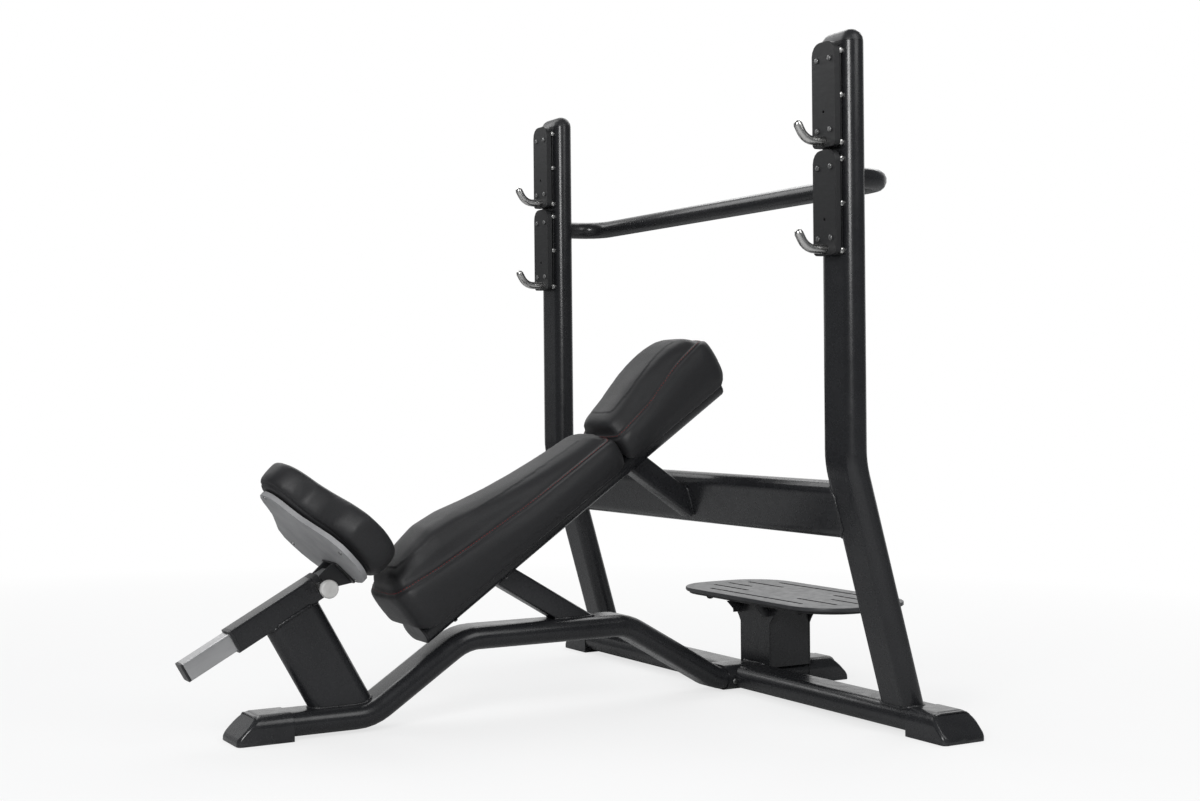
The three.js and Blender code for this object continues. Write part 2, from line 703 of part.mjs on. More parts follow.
/** Bar hook: a round rod, straight out of the plate and then turned up, with a domed end. */
function barHook() {
  const turn = rad(HOOK_BEND_ANGLE);
  const bendY = -HOOK_STRAIGHT - HOOK_BEND_RADIUS * Math.tan(turn / 2);
  const reach = HOOK_BEND_RADIUS * Math.tan(turn / 2) + HOOK_TIP_LENGTH;
  const corners = [
    inPlane(WEAR_PLATE_THICKNESS, HOOK_ROOT_Z),
    inPlane(bendY, HOOK_ROOT_Z),
    inPlane(bendY - reach * Math.cos(turn), HOOK_ROOT_Z + reach * Math.sin(turn)),
  ];
  const path = new BentLine(corners, [HOOK_BEND_RADIUS], X_AXIS, 5);
  const radius = HOOK_DIAMETER / 2;
  const place = (station, size, ahead) => circlePoints(size, 12).map((p) => {
    const binormal = station.tangent.clone().cross(path.side);
    return station.point.clone()
      .addScaledVector(station.tangent, ahead)
      .addScaledVector(path.side, p.x)
      .addScaledVector(binormal, p.y);
  });
  const rings = path.stations.map((station) => place(station, radius, 0));
  const end = path.stations[path.stations.length - 1];
  for (const share of [0.6, 0.94]) {
    rings.push(place(end, radius * Math.sqrt(1 - share * share), radius * share));
  }
  return loft(rings);
}

function addRacks() {
  const sides = [['left', -UPRIGHT_X], ['right', UPRIGHT_X]];
  const levels = [['lower', RACK_BOTTOM_Z], ['upper', RACK_BOTTOM_Z + RACK_PITCH]];
  for (const [side, x] of sides) {
    for (const [level, z] of levels) {
      const rack = new THREE.Group();
      rack.position.set(x, RACK_FACE_Y, z);
      group.add(rack);
      add(rack, `${side}_${level}_wear_plate`, wearPlate(), 'wear');
      add(rack, `${side}_${level}_rack_bracket`, rackBracket(), 'bracket');
      add(rack, `${side}_${level}_bar_hook`, barHook(), 'steel');
    }
  }
}

// ---------------------------------------------------------------- seat column

const column = slopedFrame(COLUMN_ANGLE, COLUMN_Y, COLUMN_Z);
const pinHeight = SLEEVE_ABOVE + GUIDE_BLOCK_LENGTH / 2;
const bushOuter = SLEEVE_SIZE - 2 * SLEEVE_WALL - 2 * SEAT_GAP;
const slideSpace = SLIDE_SIZE + 2 * RUNNING_GAP;

function squareRing(outer, outerCorner, inner, innerCorner) {
  return [roundedPoints(outer, outer, outerCorner, 2), roundedPoints(inner, inner, innerCorner, 2)];
}

/** A square tube or ring along the column's slope, from one place to another. */
function slopeTube(from, to, rings) {
  return sweep(straightLine(inPlane(from, 0), inPlane(to, 0), X_AXIS), ...rings);
}

function frontPost() {
  const reach = COLUMN_Z / Math.cos(rad(COLUMN_ANGLE));
  const path = straightLine(inPlane(0, 0), inPlane(0, -reach), X_AXIS);
  const outline = roundedPoints(POST_DEPTH, POST_WIDTH, POST_DEPTH / 2);
  const hollow = roundedPoints(POST_DEPTH - 2 * OVAL_WALL, POST_WIDTH - 2 * OVAL_WALL,
    POST_DEPTH / 2 - OVAL_WALL);
  const size = SLEEVE_SIZE + 2 * SEAT_GAP;
  const sleeve = slopeTube(-SLEEVE_BELOW - POST_WIDTH, SLEEVE_ABOVE + POST_WIDTH,
    [roundedPoints(size, size, SLEEVE_CORNER + SEAT_GAP, 2)]);
  const floorSide = new THREE.BoxGeometry(2 * POST_WIDTH, 2 * COLUMN_Z, 2 * FLOOR_TUBE_Z);
  floorSide.translate(0, COLUMN_Y + COLUMN_Z / 2, 0);
  const above = new THREE.BoxGeometry(2 * POST_WIDTH, 2 * COLUMN_Z, SLEEVE_SIZE);
  above.translate(0, 0, SLEEVE_SIZE / 2);
  return cut(sweep(path, outline, hollow), sleeve, above,
    intoFrame(spineCutter, column), intoFrame(floorSide, column));
}

/** Square tube welded on the post, in which the seat's tube slides. */
function addSleeve() {
  const inner = SLEEVE_SIZE - 2 * SLEEVE_WALL;
  const rings = squareRing(SLEEVE_SIZE, SLEEVE_CORNER, inner, SLEEVE_CORNER - SLEEVE_WALL);
  add(column, 'front_post', frontPost(), 'frame');
  add(column, 'seat_sleeve', slopeTube(-SLEEVE_BELOW, SLEEVE_ABOVE, rings), 'frame');
}

/** Plastic guide at each end of the sleeve: a liner inside it and a flange outside. */
function sleeveGuide(end, inward, flange) {
  const lining = squareRing(bushOuter, SLEEVE_CORNER - SLEEVE_WALL, slideSpace, SLIDE_CORNER);
  const face = squareRing(SLEEVE_SIZE, SLEEVE_CORNER, slideSpace, SLIDE_CORNER);
  const outside = end - inward * SEAT_GAP;
  const liner = slopeTube(...ordered(outside, end + inward * BUSH_LENGTH), lining);
  const lip = slopeTube(...ordered(outside, outside - inward * flange), face);
  return join(liner, lip);
}

function ordered(a, b) {
  return a < b ? [a, b] : [b, a];
}

function addSleeveGuides() {
  add(column, 'sleeve_lower_guide', sleeveGuide(-SLEEVE_BELOW, 1, LOWER_FLANGE), 'shell');
  const hole = cylinder(PIN_DIAMETER / 2 + PIN_CLEARANCE, SLEEVE_SIZE, 16);
  hole.translate(0, pinHeight, 0);
  const block = sleeveGuide(SLEEVE_ABOVE, -1, GUIDE_BLOCK_LENGTH);
  add(column, 'sleeve_upper_guide', cut(block, hole), 'shell');
}

// ---------------------------------------------------------------- pull pin

const barrelStart = SLEEVE_SIZE / 2 + SEAT_GAP;
const barrelEnd = barrelStart + PIN_BARREL_LENGTH;
const pinTip = SLIDE_SIZE / 2 - PIN_REACH;
const pinCollarStart = barrelStart + PIN_BARREL_WALL + SEAT_GAP;
const pinCollarEnd = pinCollarStart + PIN_COLLAR_LENGTH;
const knobStart = barrelEnd + KNOB_GAP;
const springEnd = barrelEnd - PIN_BARREL_WALL;

function pinBarrel() {
  const bore = PIN_DIAMETER / 2 + PIN_CLEARANCE;
  const room = PIN_COLLAR_DIAMETER / 2 + PIN_CLEARANCE;
  const outer = PIN_BARREL_DIAMETER / 2;
  return turned([
    [barrelStart, bore],
    [barrelStart, outer],
    [barrelEnd, outer],
    [barrelEnd, bore],
    [springEnd, bore],
    [springEnd, room],
    [barrelStart + PIN_BARREL_WALL, room],
    [barrelStart + PIN_BARREL_WALL, bore],
    [barrelStart, bore],
  ], 16);
}

function pinRod() {
  const radius = PIN_DIAMETER / 2;
  return turned([
    [pinTip, 0],
    [pinTip, radius - 1.5],
    [pinTip + 1.5, radius],
    [pinCollarStart, radius],
    [pinCollarStart, PIN_COLLAR_DIAMETER / 2],
    [pinCollarEnd, PIN_COLLAR_DIAMETER / 2],
    [pinCollarEnd, radius],
    [knobStart + KNOB_LENGTH * 0.6, radius],
    [knobStart + KNOB_LENGTH * 0.6, 0],
  ], 16);
}

/** Round knob on the pin, bored to take its end. */
function pinKnob() {
  const outer = KNOB_DIAMETER / 2;
  const bore = PIN_DIAMETER / 2 + SEAT_GAP;
  const hole = knobStart + KNOB_LENGTH * 0.6 + SEAT_GAP;
  const end = knobStart + KNOB_LENGTH;
  return turned([
    [knobStart, bore],
    [knobStart, outer * 0.62],
    [knobStart + KNOB_LENGTH * 0.22, outer * 0.66],
    [knobStart + KNOB_LENGTH * 0.42, outer * 0.95],
    [knobStart + KNOB_LENGTH * 0.58, outer],
    [end - 4, outer],
    [end - 1.2, outer * 0.93],
    [end, outer * 0.8],
    [end, 0],
    [hole, 0],
    [hole, bore],
    [knobStart, bore],
  ], 20);
}

/** Centre line of the coil spring between the pin's collar and the barrel's outer end. */
class Helix extends THREE.Curve {
  getPoint(t, target = new THREE.Vector3()) {
    const angle = 2 * Math.PI * PIN_SPRING_TURNS * t;
    const radius = (PIN_SPRING_DIAMETER - PIN_SPRING_WIRE) / 2;
    const room = PIN_SPRING_WIRE / 2 + SEAT_GAP;
    const x = THREE.MathUtils.lerp(pinCollarEnd + room, springEnd - room, t);
    return target.set(x, radius * Math.cos(angle), radius * Math.sin(angle));
  }
}

function pinSpring() {
  const shape = new THREE.Shape(circlePoints(PIN_SPRING_WIRE / 2, 5));
  return new THREE.ExtrudeGeometry(shape, {
    steps: PIN_SPRING_TURNS * 10,
    extrudePath: new Helix(),
  });
}

function addPullPin() {
  const pieces = [
    ['pull_pin_barrel', pinBarrel(), 'steel'],
    ['pull_pin', pinRod(), 'steel'],
    ['pull_pin_spring', pinSpring(), 'steel'],
    ['pull_pin_knob', pinKnob(), 'knob'],
  ];
  for (const [name, geometry, finish] of pieces) {
    add(column, name, geometry, finish).position.y = pinHeight;
  }
}

// ---------------------------------------------------------------- seat

/** Square tube with one hole for each seat height, drilled through its right wall. */
function seatSlide() {
  const inner = SLIDE_SIZE - 2 * SLIDE_WALL;
  const rings = squareRing(SLIDE_SIZE, SLIDE_CORNER, inner, SLIDE_CORNER - SLIDE_WALL);
  const tube = slopeTube(-SLIDE_BELOW, SLIDE_ABOVE, rings);
  const holes = [];
  for (let i = 0; i < PIN_HOLE_COUNT; i += 1) {
    const hole = cylinder(PIN_DIAMETER / 2 + PIN_CLEARANCE, SLIDE_SIZE, 16);
    hole.translate(0, pinHeight - i * PIN_HOLE_PITCH, 0);
    holes.push(hole);
  }
  return cut(tube, ...holes);
}

function slidePlug() {
  const inner = SLIDE_SIZE - 2 * SLIDE_WALL - 2 * SEAT_GAP;
  const end = -SLIDE_BELOW - SEAT_GAP;
  const head = slopeTube(end - SLIDE_PLUG_THICKNESS, end,
    [roundedPoints(SLIDE_SIZE, SLIDE_SIZE, SLIDE_CORNER, 2)]);
  const stem = slopeTube(end, end + SLIDE_PLUG_DEPTH, [roundedPoints(inner, inner, 1.2, 2)]);
  return join(head, stem);
}

const seatFrame = slopedFrame(-SEAT_ANGLE);
const boardBottom = SEAT_PLANE - SEAT_BOARD_THICKNESS;

/** Half width of the seat at a place along it: a narrow nose, then wings. */
function seatHalfWidth(at) {
  const rise = THREE.MathUtils.smoothstep(at, SEAT_WING_START_S, SEAT_WING_END_S);
  return THREE.MathUtils.lerp(SEAT_NOSE_HALF_WIDTH, SEAT_WING_HALF_WIDTH, rise);
}

/** Narrowing towards a rounded end: 1 in the middle of a length and 0 at its ends. */
function endRound(distance, radius) {
  const inside = Math.min(distance / radius, 1);
  return Math.sqrt(1 - (1 - inside) ** 2);
}

/** Right-hand edge of the seat in plan, as points (x, s) from nose to tail. */
function seatPlan(inset, noseInset) {
  const nose = SEAT_NOSE_S + noseInset;
  const tail = SEAT_TAIL_S - inset;
  const points = [];
  const count = 15;
  for (let i = 0; i <= count; i += 1) {
    const at = THREE.MathUtils.lerp(nose, tail, (1 - Math.cos(Math.PI * i / count)) / 2);
    const front = THREE.MathUtils.lerp(0.2, 1, endRound(at - nose, 80));
    const back = THREE.MathUtils.lerp(0.35, 1, endRound(tail - at, 100));
    points.push(new THREE.Vector2(seatHalfWidth(at) * front * back - inset, at));
  }
  return points;
}

/** Board on which the pad is upholstered. */
function seatBoard() {
  const right = seatPlan(SEAT_BOARD_INSET, SEAT_BOARD_NOSE_INSET);
  const left = right.map((p) => new THREE.Vector2(-p.x, p.y)).reverse();
  const board = prism([...right, ...left], SEAT_BOARD_THICKNESS - SEAT_GAP);
  board.translate(0, 0, boardBottom);
  return board;
}

/** Closed section of a pad across X: flat base, bulging sides and a crowned top. */
function padSection(halfWidth, height, base, count = 20) {
  const points = [];
  for (let i = 0; i < count; i += 1) {
    const angle = 2 * Math.PI * (i + 0.5) / count;
    const c = Math.cos(angle);
    const s = Math.sin(angle);
    const x = Math.sign(c) * Math.abs(c) ** 0.5;
    const z = 0.5 + 0.5 * Math.sign(s) * Math.abs(s) ** 0.62;
    const taper = 1 - (1 - base) * Math.max(0, 0.4 - z) / 0.4;
    points.push(new THREE.Vector2(x * halfWidth * taper, z * height));
  }
  return points;
}

/** Height of a pad near its rounded ends, as a share of its full height. */
function endHeight(fromEnd, lowest, radius) {
  return THREE.MathUtils.lerp(lowest, 1, endRound(fromEnd, radius));
}

function seatPad() {
  const length = SEAT_TAIL_S - SEAT_NOSE_S;
  const rings = seatPlan(0, 0).map((p) => {
    const fromNose = p.y - SEAT_NOSE_S;
    const full = THREE.MathUtils.lerp(SEAT_NOSE_THICKNESS, SEAT_TAIL_THICKNESS, fromNose / length);
    const height = full * endHeight(Math.min(fromNose, length - fromNose), 0.45, 34);
    const lift = SEAT_PLANE + (full - height) * 0.6;
    return padSection(p.x, height, 0.93)
      .map((q) => new THREE.Vector3(q.x, p.y, q.y + lift));
  });
  return loft(rings.map((ring) => [...ring].reverse()));
}

/** Plate under the board with two cheeks that grip the slide's upper end. */
function seatBracket() {
  const matrix = columnToSeat();
  const corner = (along, up) => {
    const p = new THREE.Vector3(0, along, up).applyMatrix4(matrix);
    return new THREE.Vector2(p.y, p.z);
  };
  const top = boardBottom - SEAT_GAP;
  const under = top - SEAT_BRACKET_SHEET;
  const half = SLIDE_SIZE / 2 + SEAT_GAP;
  const cheeks = sidePrism([
    corner(SLIDE_ABOVE - SEAT_BRACKET_GRIP, half),
    corner(SLIDE_ABOVE - SEAT_BRACKET_GRIP, -half),
    corner(SLIDE_ABOVE, -half),
    new THREE.Vector2(SEAT_BRACKET_REAR_S, under),
    new THREE.Vector2(SEAT_BRACKET_REAR_S, top),
    new THREE.Vector2(SEAT_BRACKET_FRONT_S, top),
    new THREE.Vector2(SEAT_BRACKET_FRONT_S, under),
  ], 2 * (half + SEAT_BRACKET_SHEET));
  const between = new THREE.BoxGeometry(2 * half, SLIDE_BELOW, SLIDE_BELOW);
  between.translate(0, (SEAT_BRACKET_FRONT_S + SEAT_BRACKET_REAR_S) / 2, under - SLIDE_BELOW / 2);
  const length = SEAT_BRACKET_REAR_S - SEAT_BRACKET_FRONT_S;
  const plate = prism(roundedPoints(SEAT_BRACKET_WIDTH, length, 10), SEAT_BRACKET_SHEET);
  plate.translate(0, (SEAT_BRACKET_FRONT_S + SEAT_BRACKET_REAR_S) / 2, under);
  return join(cut(cheeks, between), plate);
}

/** Turns places in the column's frame into the seat's frame. */
function columnToSeat() {
  column.updateMatrixWorld(true);
  seatFrame.updateMatrixWorld(true);
  return seatFrame.matrixWorld.clone().invert().multiply(column.matrixWorld);
}

function addSeat() {
  add(column, 'seat_slide', seatSlide(), 'aluminium');
  add(column, 'seat_slide_plug', slidePlug(), 'shell');
  add(seatFrame, 'seat_bracket', seatBracket(), 'bracket');
  add(seatFrame, 'seat_board', seatBoard(), 'board');
  add(seatFrame, 'seat_pad', seatPad(), 'vinyl');
}

// ---------------------------------------------------------------- backrest

const backFrame = slopedFrame(BACK_ANGLE);
const backTubeCentre = BACK_TUBE_TOP - HALF_DEPTH;
const backTubePath = straightLine(
  inPlane(BACK_TUBE_START, backTubeCentre),
  inPlane(BACK_TUBE_END, backTubeCentre),
  X_AXIS,
);
const padBase = BACK_TUBE_TOP - PAD_SKIRT;

/** End cap of the backrest tube; facing is -1 at the lower end and 1 at the upper. */
function backTubeCap(at, facing) {
  const ring = (offset, s) => ovalPoints(OVAL_WIDTH, OVAL_DEPTH, offset)
    .map((p) => new THREE.Vector3(-p.x * facing, s, backTubeCentre + p.y));
  const plug = -OVAL_WALL - SEAT_GAP;
  const face = at + facing * SEAT_GAP;
  const end = face + facing * BACK_CAP_THICKNESS;
  return loft([
    ring(plug, at - facing * BACK_CAP_PLUG),
    ring(plug, face),
    ring(0, face),
    ring(0, end - facing * 2.5),
    ring(-0.8, end - facing * 0.8),
    ring(-2.5, end),
  ]);
}

/** Smooth height read from [place, height] pairs. */
function profile(pairs) {
  const places = pairs.map(([place]) => place);
  const heights = pairs.map(([, height]) => height);
  const curve = new THREE.CubicInterpolant(places, heights, 1);
  return (place) => curve.evaluate(place)[0];
}

/** Right half of a pad's section, from its base up the bulging side, over the seam, to the crown. */
function crownedHalf(seam, crown) {
  const side = new THREE.CubicBezierCurve(
    new THREE.Vector2(PAD_BASE_HALF_WIDTH, padBase),
    new THREE.Vector2(PAD_SIDE_HALF_WIDTH + 3, THREE.MathUtils.lerp(padBase, seam, 0.3)),
    new THREE.Vector2(PAD_SIDE_HALF_WIDTH + 6, THREE.MathUtils.lerp(padBase, seam, 0.75)),
    new THREE.Vector2(PAD_SEAM_HALF_WIDTH, seam),
  );
  const top = [0.86, 0.68, 0.42, 0.14].map((share) => new THREE.Vector2(
    share * PAD_SEAM_HALF_WIDTH,
    seam + (crown - seam) * (1 - share ** PAD_CROWN_POWER),
  ));
  return [...side.getPoints(6), ...top];
}

/** Upholstered pad that sits astride the tube of the backrest, its ends drawn in to a round. */
function backPad(start, end, crownPairs, seamPairs, lowerEnd, upperEnd) {
  const crownAt = profile(crownPairs);
  const seamAt = profile(seamPairs);
  const length = end - start;
  const rings = [];
  const count = 15;
  for (let i = 0; i <= count; i += 1) {
    const at = length * (1 - Math.cos(Math.PI * i / count)) / 2;
    const fromEnd = Math.min(at, length - at);
    const [narrow, low] = at < length / 2 ? lowerEnd : upperEnd;
    const wide = endHeight(fromEnd, narrow, PAD_END_ROUND);
    const high = endHeight(fromEnd, low, PAD_END_ROUND);
    const belt = THREE.MathUtils.lerp(padBase, seamAt(at), 0.5);
    const right = crownedHalf(seamAt(at), crownAt(at)).map((p) => new THREE.Vector3(
      p.x * wide,
      start + at,
      belt + (p.y - belt) * high,
    ));
    const left = right.map((p) => new THREE.Vector3(-p.x, p.y, p.z)).reverse();
    rings.push([...right, ...left].reverse());
  }
  const channel = new THREE.BoxGeometry(2 * PAD_CHANNEL_HALF_WIDTH, length + 40, 60);
  channel.translate(0, (start + end) / 2, BACK_TUBE_TOP + SEAT_GAP - 30);
  return cut(loft(rings), channel);
}

function addBackrest() {
  const tube = ovalTube(backTubePath);
  add(backFrame, 'backrest_tube', tube, 'frame');
  add(backFrame, 'backrest_lower_cap', backTubeCap(BACK_TUBE_START, -1), 'shell');
  add(backFrame, 'backrest_upper_cap', backTubeCap(BACK_TUBE_END, 1), 'shell');
  const backEnds = [PAD_FREE_END, PAD_MEETING_END];
  const headEnds = [PAD_MEETING_END, PAD_FREE_END];
  const back = backPad(BACK_PAD_START, BACK_PAD_END, BACK_PAD_CROWN, BACK_PAD_SEAM, ...backEnds);
  const head = backPad(HEAD_PAD_START, HEAD_PAD_END, HEAD_PAD_CROWN, HEAD_PAD_SEAM, ...headEnds);
  add(backFrame, 'back_pad', back, 'vinyl');
  add(backFrame, 'head_pad', head, 'vinyl');
}

// ---------------------------------------------------------------- struts

/** Square tube from the backrest tube down to the rear, cut to whatever it is welded to. */
function strut(startS, angle, length, ...cutters) {
  const start = inPlane(startS, backTubeCentre).applyAxisAngle(X_AXIS, rad(BACK_ANGLE));
  const end = inPlane(length * Math.cos(rad(angle)), -length * Math.sin(rad(angle))).add(start);
  const inner = STRUT_SIZE - 2 * STRUT_WALL;
  const tube = sweep(straightLine(start, end, X_AXIS),
    ...squareRing(STRUT_SIZE, STRUT_CORNER, inner, STRUT_CORNER - STRUT_WALL));
  backFrame.updateMatrixWorld(true);
  const backCutter = floorTubeCutter(backTubePath).applyMatrix4(backFrame.matrixWorld);
  return cut(tube, backCutter, ...cutters);
}

function addStruts(midBarCutter) {
  const heightOf = (s) => s * Math.sin(rad(BACK_ANGLE)) + backTubeCentre * Math.cos(rad(BACK_ANGLE));
  const upperDrop = heightOf(UPPER_STRUT_S) - MID_BAR_Z + OVAL_DEPTH / 2;
  const upperLength = upperDrop / Math.sin(rad(UPPER_STRUT_ANGLE));
  const lowerLength = (heightOf(LOWER_STRUT_S) - HUMP_Z) / Math.sin(rad(LOWER_STRUT_ANGLE));
  const upper = strut(UPPER_STRUT_S, UPPER_STRUT_ANGLE, upperLength, midBarCutter);
  const lower = strut(LOWER_STRUT_S, LOWER_STRUT_ANGLE, lowerLength, spineCutter);
  add(group, 'upper_strut', upper, 'frame');
  add(group, 'lower_strut', lower, 'frame');
}

// ---------------------------------------------------------------- platform

const sheetTop = PLATFORM_TOP_Z - PLATFORM_THICKNESS - SEAT_GAP;
const pedestalTop = sheetTop - PLATFORM_SHEET - SEAT_GAP;
const pedestalFoot = FLOOR_TUBE_TOP - 8;

/** Wall of the pedestal, flaring in its upper part, as an outline symmetric about zero. */
function flaredOutline(halfWidth, flareStart, topHalfWidth, steps = 5) {
  const right = [[halfWidth, pedestalFoot], [halfWidth, flareStart]];
  for (let i = 1; i <= steps; i += 1) {
    const share = i / steps;
    const out = THREE.MathUtils.lerp(halfWidth, topHalfWidth, share ** 1.25);
    right.push([out, THREE.MathUtils.lerp(flareStart, pedestalTop, share)]);
  }
  return [
    ...right.map(([x, z]) => new THREE.Vector2(x, z)),
    ...right.map(([x, z]) => new THREE.Vector2(-x, z)).reverse(),
  ];
}

/** Slots in a front or rear wall that let the side walls' wings through. */
function wingSlots() {
  const wide = PEDESTAL_SHEET + 2 * SEAT_GAP;
  const middle = PEDESTAL_HALF_X - PEDESTAL_SHEET / 2;
  return [-1, 1].map((side) => {
    const slot = new THREE.BoxGeometry(wide, 4 * PEDESTAL_SHEET, 2 * (pedestalTop - PEDESTAL_SLOT_Z));
    slot.translate(side * middle, PEDESTAL_SHEET / 2, pedestalTop);
    return slot;
  });
}

function addPedestal() {
  const tubes = [crossbarCutter, floorTubeCutter(extensionPath)];
  const walls = [['front', PEDESTAL_FRONT_Y], ['rear', PEDESTAL_REAR_Y - PEDESTAL_SHEET]];
  for (const [name, y] of walls) {
    const outline = flaredOutline(PEDESTAL_HALF_X, PEDESTAL_FLARE_Z, PEDESTAL_FLARE_X);
    const wall = cut(frontPrism(outline, PEDESTAL_SHEET), ...wingSlots());
    wall.translate(0, y, 0);
    add(group, `pedestal_${name}_wall`, cut(wall, ...tubes), 'frame');
  }
  const depth = (PEDESTAL_REAR_Y - PEDESTAL_FRONT_Y) / 2;
  const inner = depth - PEDESTAL_SHEET - SEAT_GAP;
  for (const [name, side] of [['left', -1], ['right', 1]]) {
    const narrow = flaredOutline(inner, PEDESTAL_SLOT_Z + SEAT_GAP, inner);
    const wings = flaredOutline(depth, PEDESTAL_FLARE_Z, depth + PEDESTAL_FLARE_Y)
      .filter((p) => p.y > PEDESTAL_SLOT_Z);
    const floor = PEDESTAL_SLOT_Z + SEAT_GAP;
    const half = Math.max(...wings.filter((p) => p.y < floor + 12).map((p) => p.x));
    const upper = [new THREE.Vector2(-half, floor), new THREE.Vector2(half, floor), ...wings];
    const wall = join(sidePrism(narrow, PEDESTAL_SHEET), sidePrism(upper, PEDESTAL_SHEET));
    const centreX = side * (PEDESTAL_HALF_X - PEDESTAL_SHEET / 2);
    wall.translate(centreX, (PEDESTAL_FRONT_Y + PEDESTAL_REAR_Y) / 2, 0);
    add(group, `pedestal_${name}_wall`, cut(wall, ...tubes), 'frame');
  }
}

/** Round-ended slot centred on (x, y), lying along X. */
function slotPoints(x, y, length) {
  return movedPoints(roundedPoints(length, SLOT_WIDTH, SLOT_WIDTH / 2, 3), x, y);
}

function platformSlots() {
  const slots = [];
  SLOT_HALF_SPANS.forEach((span, row) => {
    const y = (row - (SLOT_HALF_SPANS.length - 1) / 2) * SLOT_PITCH;
    const gap = SLOT_HALF_BREAKS[row];
    if (gap > 0) {
      slots.push(slotPoints((span + gap) / 2, y, span - gap));
      slots.push(slotPoints(-(span + gap) / 2, y, span - gap));
    } else {
      slots.push(slotPoints(0, y, 2 * span));
    }
  });
  return slots;
}

/** Tread plate with its edges rounded over, and rows of slots cut through it. */
function platformPlate() {
  const outline = (inset) => roundedPoints(2 * (PLATFORM_HALF_X - inset),
    2 * (PLATFORM_HALF_Y - inset), PLATFORM_CORNER - inset, 8);
  const ring = (inset, z) => outline(inset).map((p) => new THREE.Vector3(p.x, p.y, z));
  const round = PLATFORM_EDGE_ROUND;
  const body = loft([
    ring(round, 0),
    ring(0, round),
    ring(0, PLATFORM_THICKNESS - round),
    ring(round * 0.3, PLATFORM_THICKNESS - round * 0.3),
    ring(round, PLATFORM_THICKNESS),
  ]);
  const cuts = platformSlots().map((points) => {
    const slot = prism(points, PLATFORM_THICKNESS + 2);
    slot.translate(0, 0, -1);
    return slot;
  });
  return cut(body, ...cuts);
}

/** Sheet under the tread plate, set in a little from its edge. */
function platformSheet() {
  const outline = roundedPoints(2 * (PLATFORM_HALF_X - PLATFORM_SHEET_INSET),
    2 * (PLATFORM_HALF_Y - PLATFORM_SHEET_INSET), PLATFORM_CORNER - PLATFORM_SHEET_INSET, 8);
  return prism(outline, PLATFORM_SHEET);
}

function platformBuffer() {
  const radius = BUFFER_DIAMETER / 2;
  const buffer = turned([
    [0, 0],
    [0, radius],
    [BUFFER_HEIGHT * 0.5, radius],
    [BUFFER_HEIGHT * 0.85, radius * 0.75],
    [BUFFER_HEIGHT, radius * 0.35],
    [BUFFER_HEIGHT, 0],
  ], 16);
  buffer.rotateY(Math.PI / 2);
  return buffer;
}

function addPlatform() {
  const place = (mesh, z) => mesh.position.set(0, PLATFORM_CENTRE_Y, z);
  place(add(group, 'platform_plate', platformPlate(), 'aluminium'), PLATFORM_TOP_Z - PLATFORM_THICKNESS);
  place(add(group, 'platform_sheet', platformSheet(), 'bracket'), sheetTop - PLATFORM_SHEET);
  const places = [
    ['front_left', -1, -1], ['front_right', 1, -1], ['rear_left', -1, 1], ['rear_right', 1, 1],
  ];
  for (const [name, sideX, sideY] of places) {
    const buffer = add(group, `buffer_${name}`, platformBuffer(), 'rubber');
    buffer.position.set(sideX * BUFFER_X, PLATFORM_CENTRE_Y + sideY * BUFFER_Y,
      sheetTop - PLATFORM_SHEET - SEAT_GAP);
  }
}

// ---------------------------------------------------------------- the bench

addBase();
addSpineCollar();
const midBarCutter = addUprights();
addRacks();
addSleeve();
addSleeveGuides();
addPullPin();
addSeat();
addBackrest();
addStruts(midBarCutter);
addPedestal();
addPlatform();

export default group;
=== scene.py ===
# %% [markdown]
# # An incline bench with a rack, a sliding seat and a spotter's platform
# The bench is welded from flat-oval steel tube with a satin black powder coat. It stands on four
# moulded feet, and it carries three upholstered pads. The lifter's bar rests on stainless hooks,
# and the seat slides on an aluminium tube that a spring pin holds.
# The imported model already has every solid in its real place, so this file starts from it, dresses
# each solid in its finish, and adds what is too fine for it: foam, seams, screws and welds.

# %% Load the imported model
import math

import bmesh
import bpy
from mathutils import Matrix, Vector, noise
from mathutils.bvhtree import BVHTree
from mathutils.kdtree import KDTree


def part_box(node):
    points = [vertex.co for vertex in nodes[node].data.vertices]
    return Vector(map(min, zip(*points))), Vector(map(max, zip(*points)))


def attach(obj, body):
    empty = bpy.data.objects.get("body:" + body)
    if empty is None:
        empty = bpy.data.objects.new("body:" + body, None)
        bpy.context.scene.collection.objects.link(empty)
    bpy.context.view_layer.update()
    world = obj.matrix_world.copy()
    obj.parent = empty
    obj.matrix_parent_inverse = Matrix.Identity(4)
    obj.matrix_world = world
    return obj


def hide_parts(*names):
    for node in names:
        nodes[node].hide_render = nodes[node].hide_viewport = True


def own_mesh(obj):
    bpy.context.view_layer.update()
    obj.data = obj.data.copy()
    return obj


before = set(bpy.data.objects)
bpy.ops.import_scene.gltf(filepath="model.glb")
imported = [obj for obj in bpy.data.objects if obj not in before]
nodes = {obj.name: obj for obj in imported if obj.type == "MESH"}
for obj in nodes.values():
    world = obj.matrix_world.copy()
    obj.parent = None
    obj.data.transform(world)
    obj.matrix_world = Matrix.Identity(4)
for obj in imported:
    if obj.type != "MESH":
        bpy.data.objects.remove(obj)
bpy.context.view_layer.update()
bpy.context.scene.view_settings.view_transform = "Standard"

# %% [markdown]
# ## The camera
# The bench is seen from its right side, a little to the front, with the eye at about waist
# height, so that the near upright stands tall and the far one falls inside its height.
# A lens a little longer than normal keeps the tubes straight and parallel.
# The turn is built from three plain turns, because that reads more easily than a matrix.

